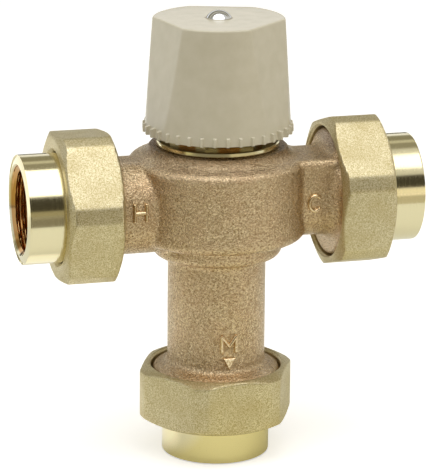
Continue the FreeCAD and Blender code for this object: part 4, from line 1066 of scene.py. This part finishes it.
def build_room(scene):
    """Room seen in the metal: bands from the front over the head to the back, and pale walls at both
    sides; white behind everything for the eye."""
    world = bpy.data.worlds.new("room")
    scene.world = world
    world.use_nodes = True
    tree = world.node_tree
    way = add(tree, "SeparateXYZ", [add(tree, "TexCoord", out="Generated")]).node.outputs
    ahead = add(tree, "Math", [way["Y"], -1.0], operation="MULTIPLY")
    lift = add(tree, "Math", [way["Z"], ahead], operation="ARCTAN2")
    lift = add(tree, "Math", [lift], operation="DEGREES")
    colour = linear("A29A7E")
    for low, high, band in ROOM_BANDS:
        rise = add(tree, "MapRange", [lift, low, high])
        colour = add(tree, "Mix", {0: rise, 6: colour, 7: linear(band)}, **COLOUR)
    across = add(tree, "MapRange", [way["X"], -0.5, 0.5])
    walls = add(tree, "Mix", {0: across, 6: linear("BEC2CA"), 7: linear("E4E1D8")}, **COLOUR)
    aside = add(tree, "Math", [way["X"]], operation="ABSOLUTE")
    beside = add(tree, "MapRange", [aside, 0.72, 0.9])
    colour = add(tree, "Mix", {0: beside, 6: colour, 7: walls}, **COLOUR)
    eye = add(tree, "LightPath", out="Is Camera Ray")
    colour = add(tree, "Mix", {0: eye, 6: colour, 7: linear("FFFFFF")}, **COLOUR)
    fill(tree, tree.nodes["Background"], {"Color": colour, "Strength": 1.0})


# ---- Add-on ----

class VALVE_OT_finishes(bpy.types.Operator):
    """Make the materials and give them to the CAD nodes"""
    bl_idname = "valve.finishes"
    bl_label = "Finishes"

    def execute(self, context):
        build_finishes(context.scene)
        return {"FINISHED"}


class VALVE_OT_casting(bpy.types.Operator):
    """Build the casting with its threads and cast letters"""
    bl_idname = "valve.casting"
    bl_label = "Casting"

    def execute(self, context):
        build_casting(context.scene)
        build_threads(context.scene)
        build_marks(context.scene)
        return {"FINISHED"}


class VALVE_OT_nuts(bpy.types.Operator):
    """Build the three union nuts"""
    bl_idname = "valve.nuts"
    bl_label = "Union Nuts"

    def execute(self, context):
        build_nuts(context.scene)
        return {"FINISHED"}


class VALVE_OT_tails(bpy.types.Operator):
    """Build the three threaded tailpieces"""
    bl_idname = "valve.tails"
    bl_label = "Tailpieces"

    def execute(self, context):
        build_tails(context.scene)
        return {"FINISHED"}


class VALVE_OT_knob(bpy.types.Operator):
    """Build the knob with its ribs, hub and webs"""
    bl_idname = "valve.knob"
    bl_label = "Knob"

    def execute(self, context):
        build_knob(context.scene)
        return {"FINISHED"}


class VALVE_OT_studio(bpy.types.Operator):
    """Set up the floor, lights, room and camera"""
    bl_idname = "valve.studio"
    bl_label = "Studio"

    def execute(self, context):
        build_studio(context.scene)
        return {"FINISHED"}


class VALVE_PT_panel(bpy.types.Panel):
    bl_idname = "VALVE_PT_panel"
    bl_label = "Mixing Valve"
    bl_space_type = "VIEW_3D"
    bl_region_type = "UI"
    bl_category = "Valve"

    def draw(self, context):
        for step, group in SETTINGS.items():
            box = self.layout.box()
            box.operator("valve." + step)
            for key in group.__annotations__:
                box.prop(getattr(context.scene, "valve_" + step), key)


SETTINGS = {
    "finishes": FinishSettings, "casting": CastingSettings, "nuts": NutSettings, "tails": TailSettings,
    "knob": KnobSettings, "studio": StudioSettings,
}
CLASSES = (
    VALVE_OT_finishes, VALVE_OT_casting, VALVE_OT_nuts, VALVE_OT_tails, VALVE_OT_knob,
    VALVE_OT_studio, VALVE_PT_panel,
)


def register():
    for step, group in SETTINGS.items():
        bpy.utils.register_class(group)
        setattr(bpy.types.Scene, "valve_" + step, bpy.props.PointerProperty(type=group))
    for item in CLASSES:
        bpy.utils.register_class(item)


def unregister():
    for item in reversed(CLASSES):
        bpy.utils.unregister_class(item)
    for step, group in SETTINGS.items():
        delattr(bpy.types.Scene, "valve_" + step)
        bpy.utils.unregister_class(group)


def corners():
    """Lower and upper corner of the model's box, as plain lists."""
    return [list(corner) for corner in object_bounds()]


def main():
    register()
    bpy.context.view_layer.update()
    for step in SETTINGS:
        getattr(bpy.ops.valve, step)()


if __name__ == "__main__":
    main()
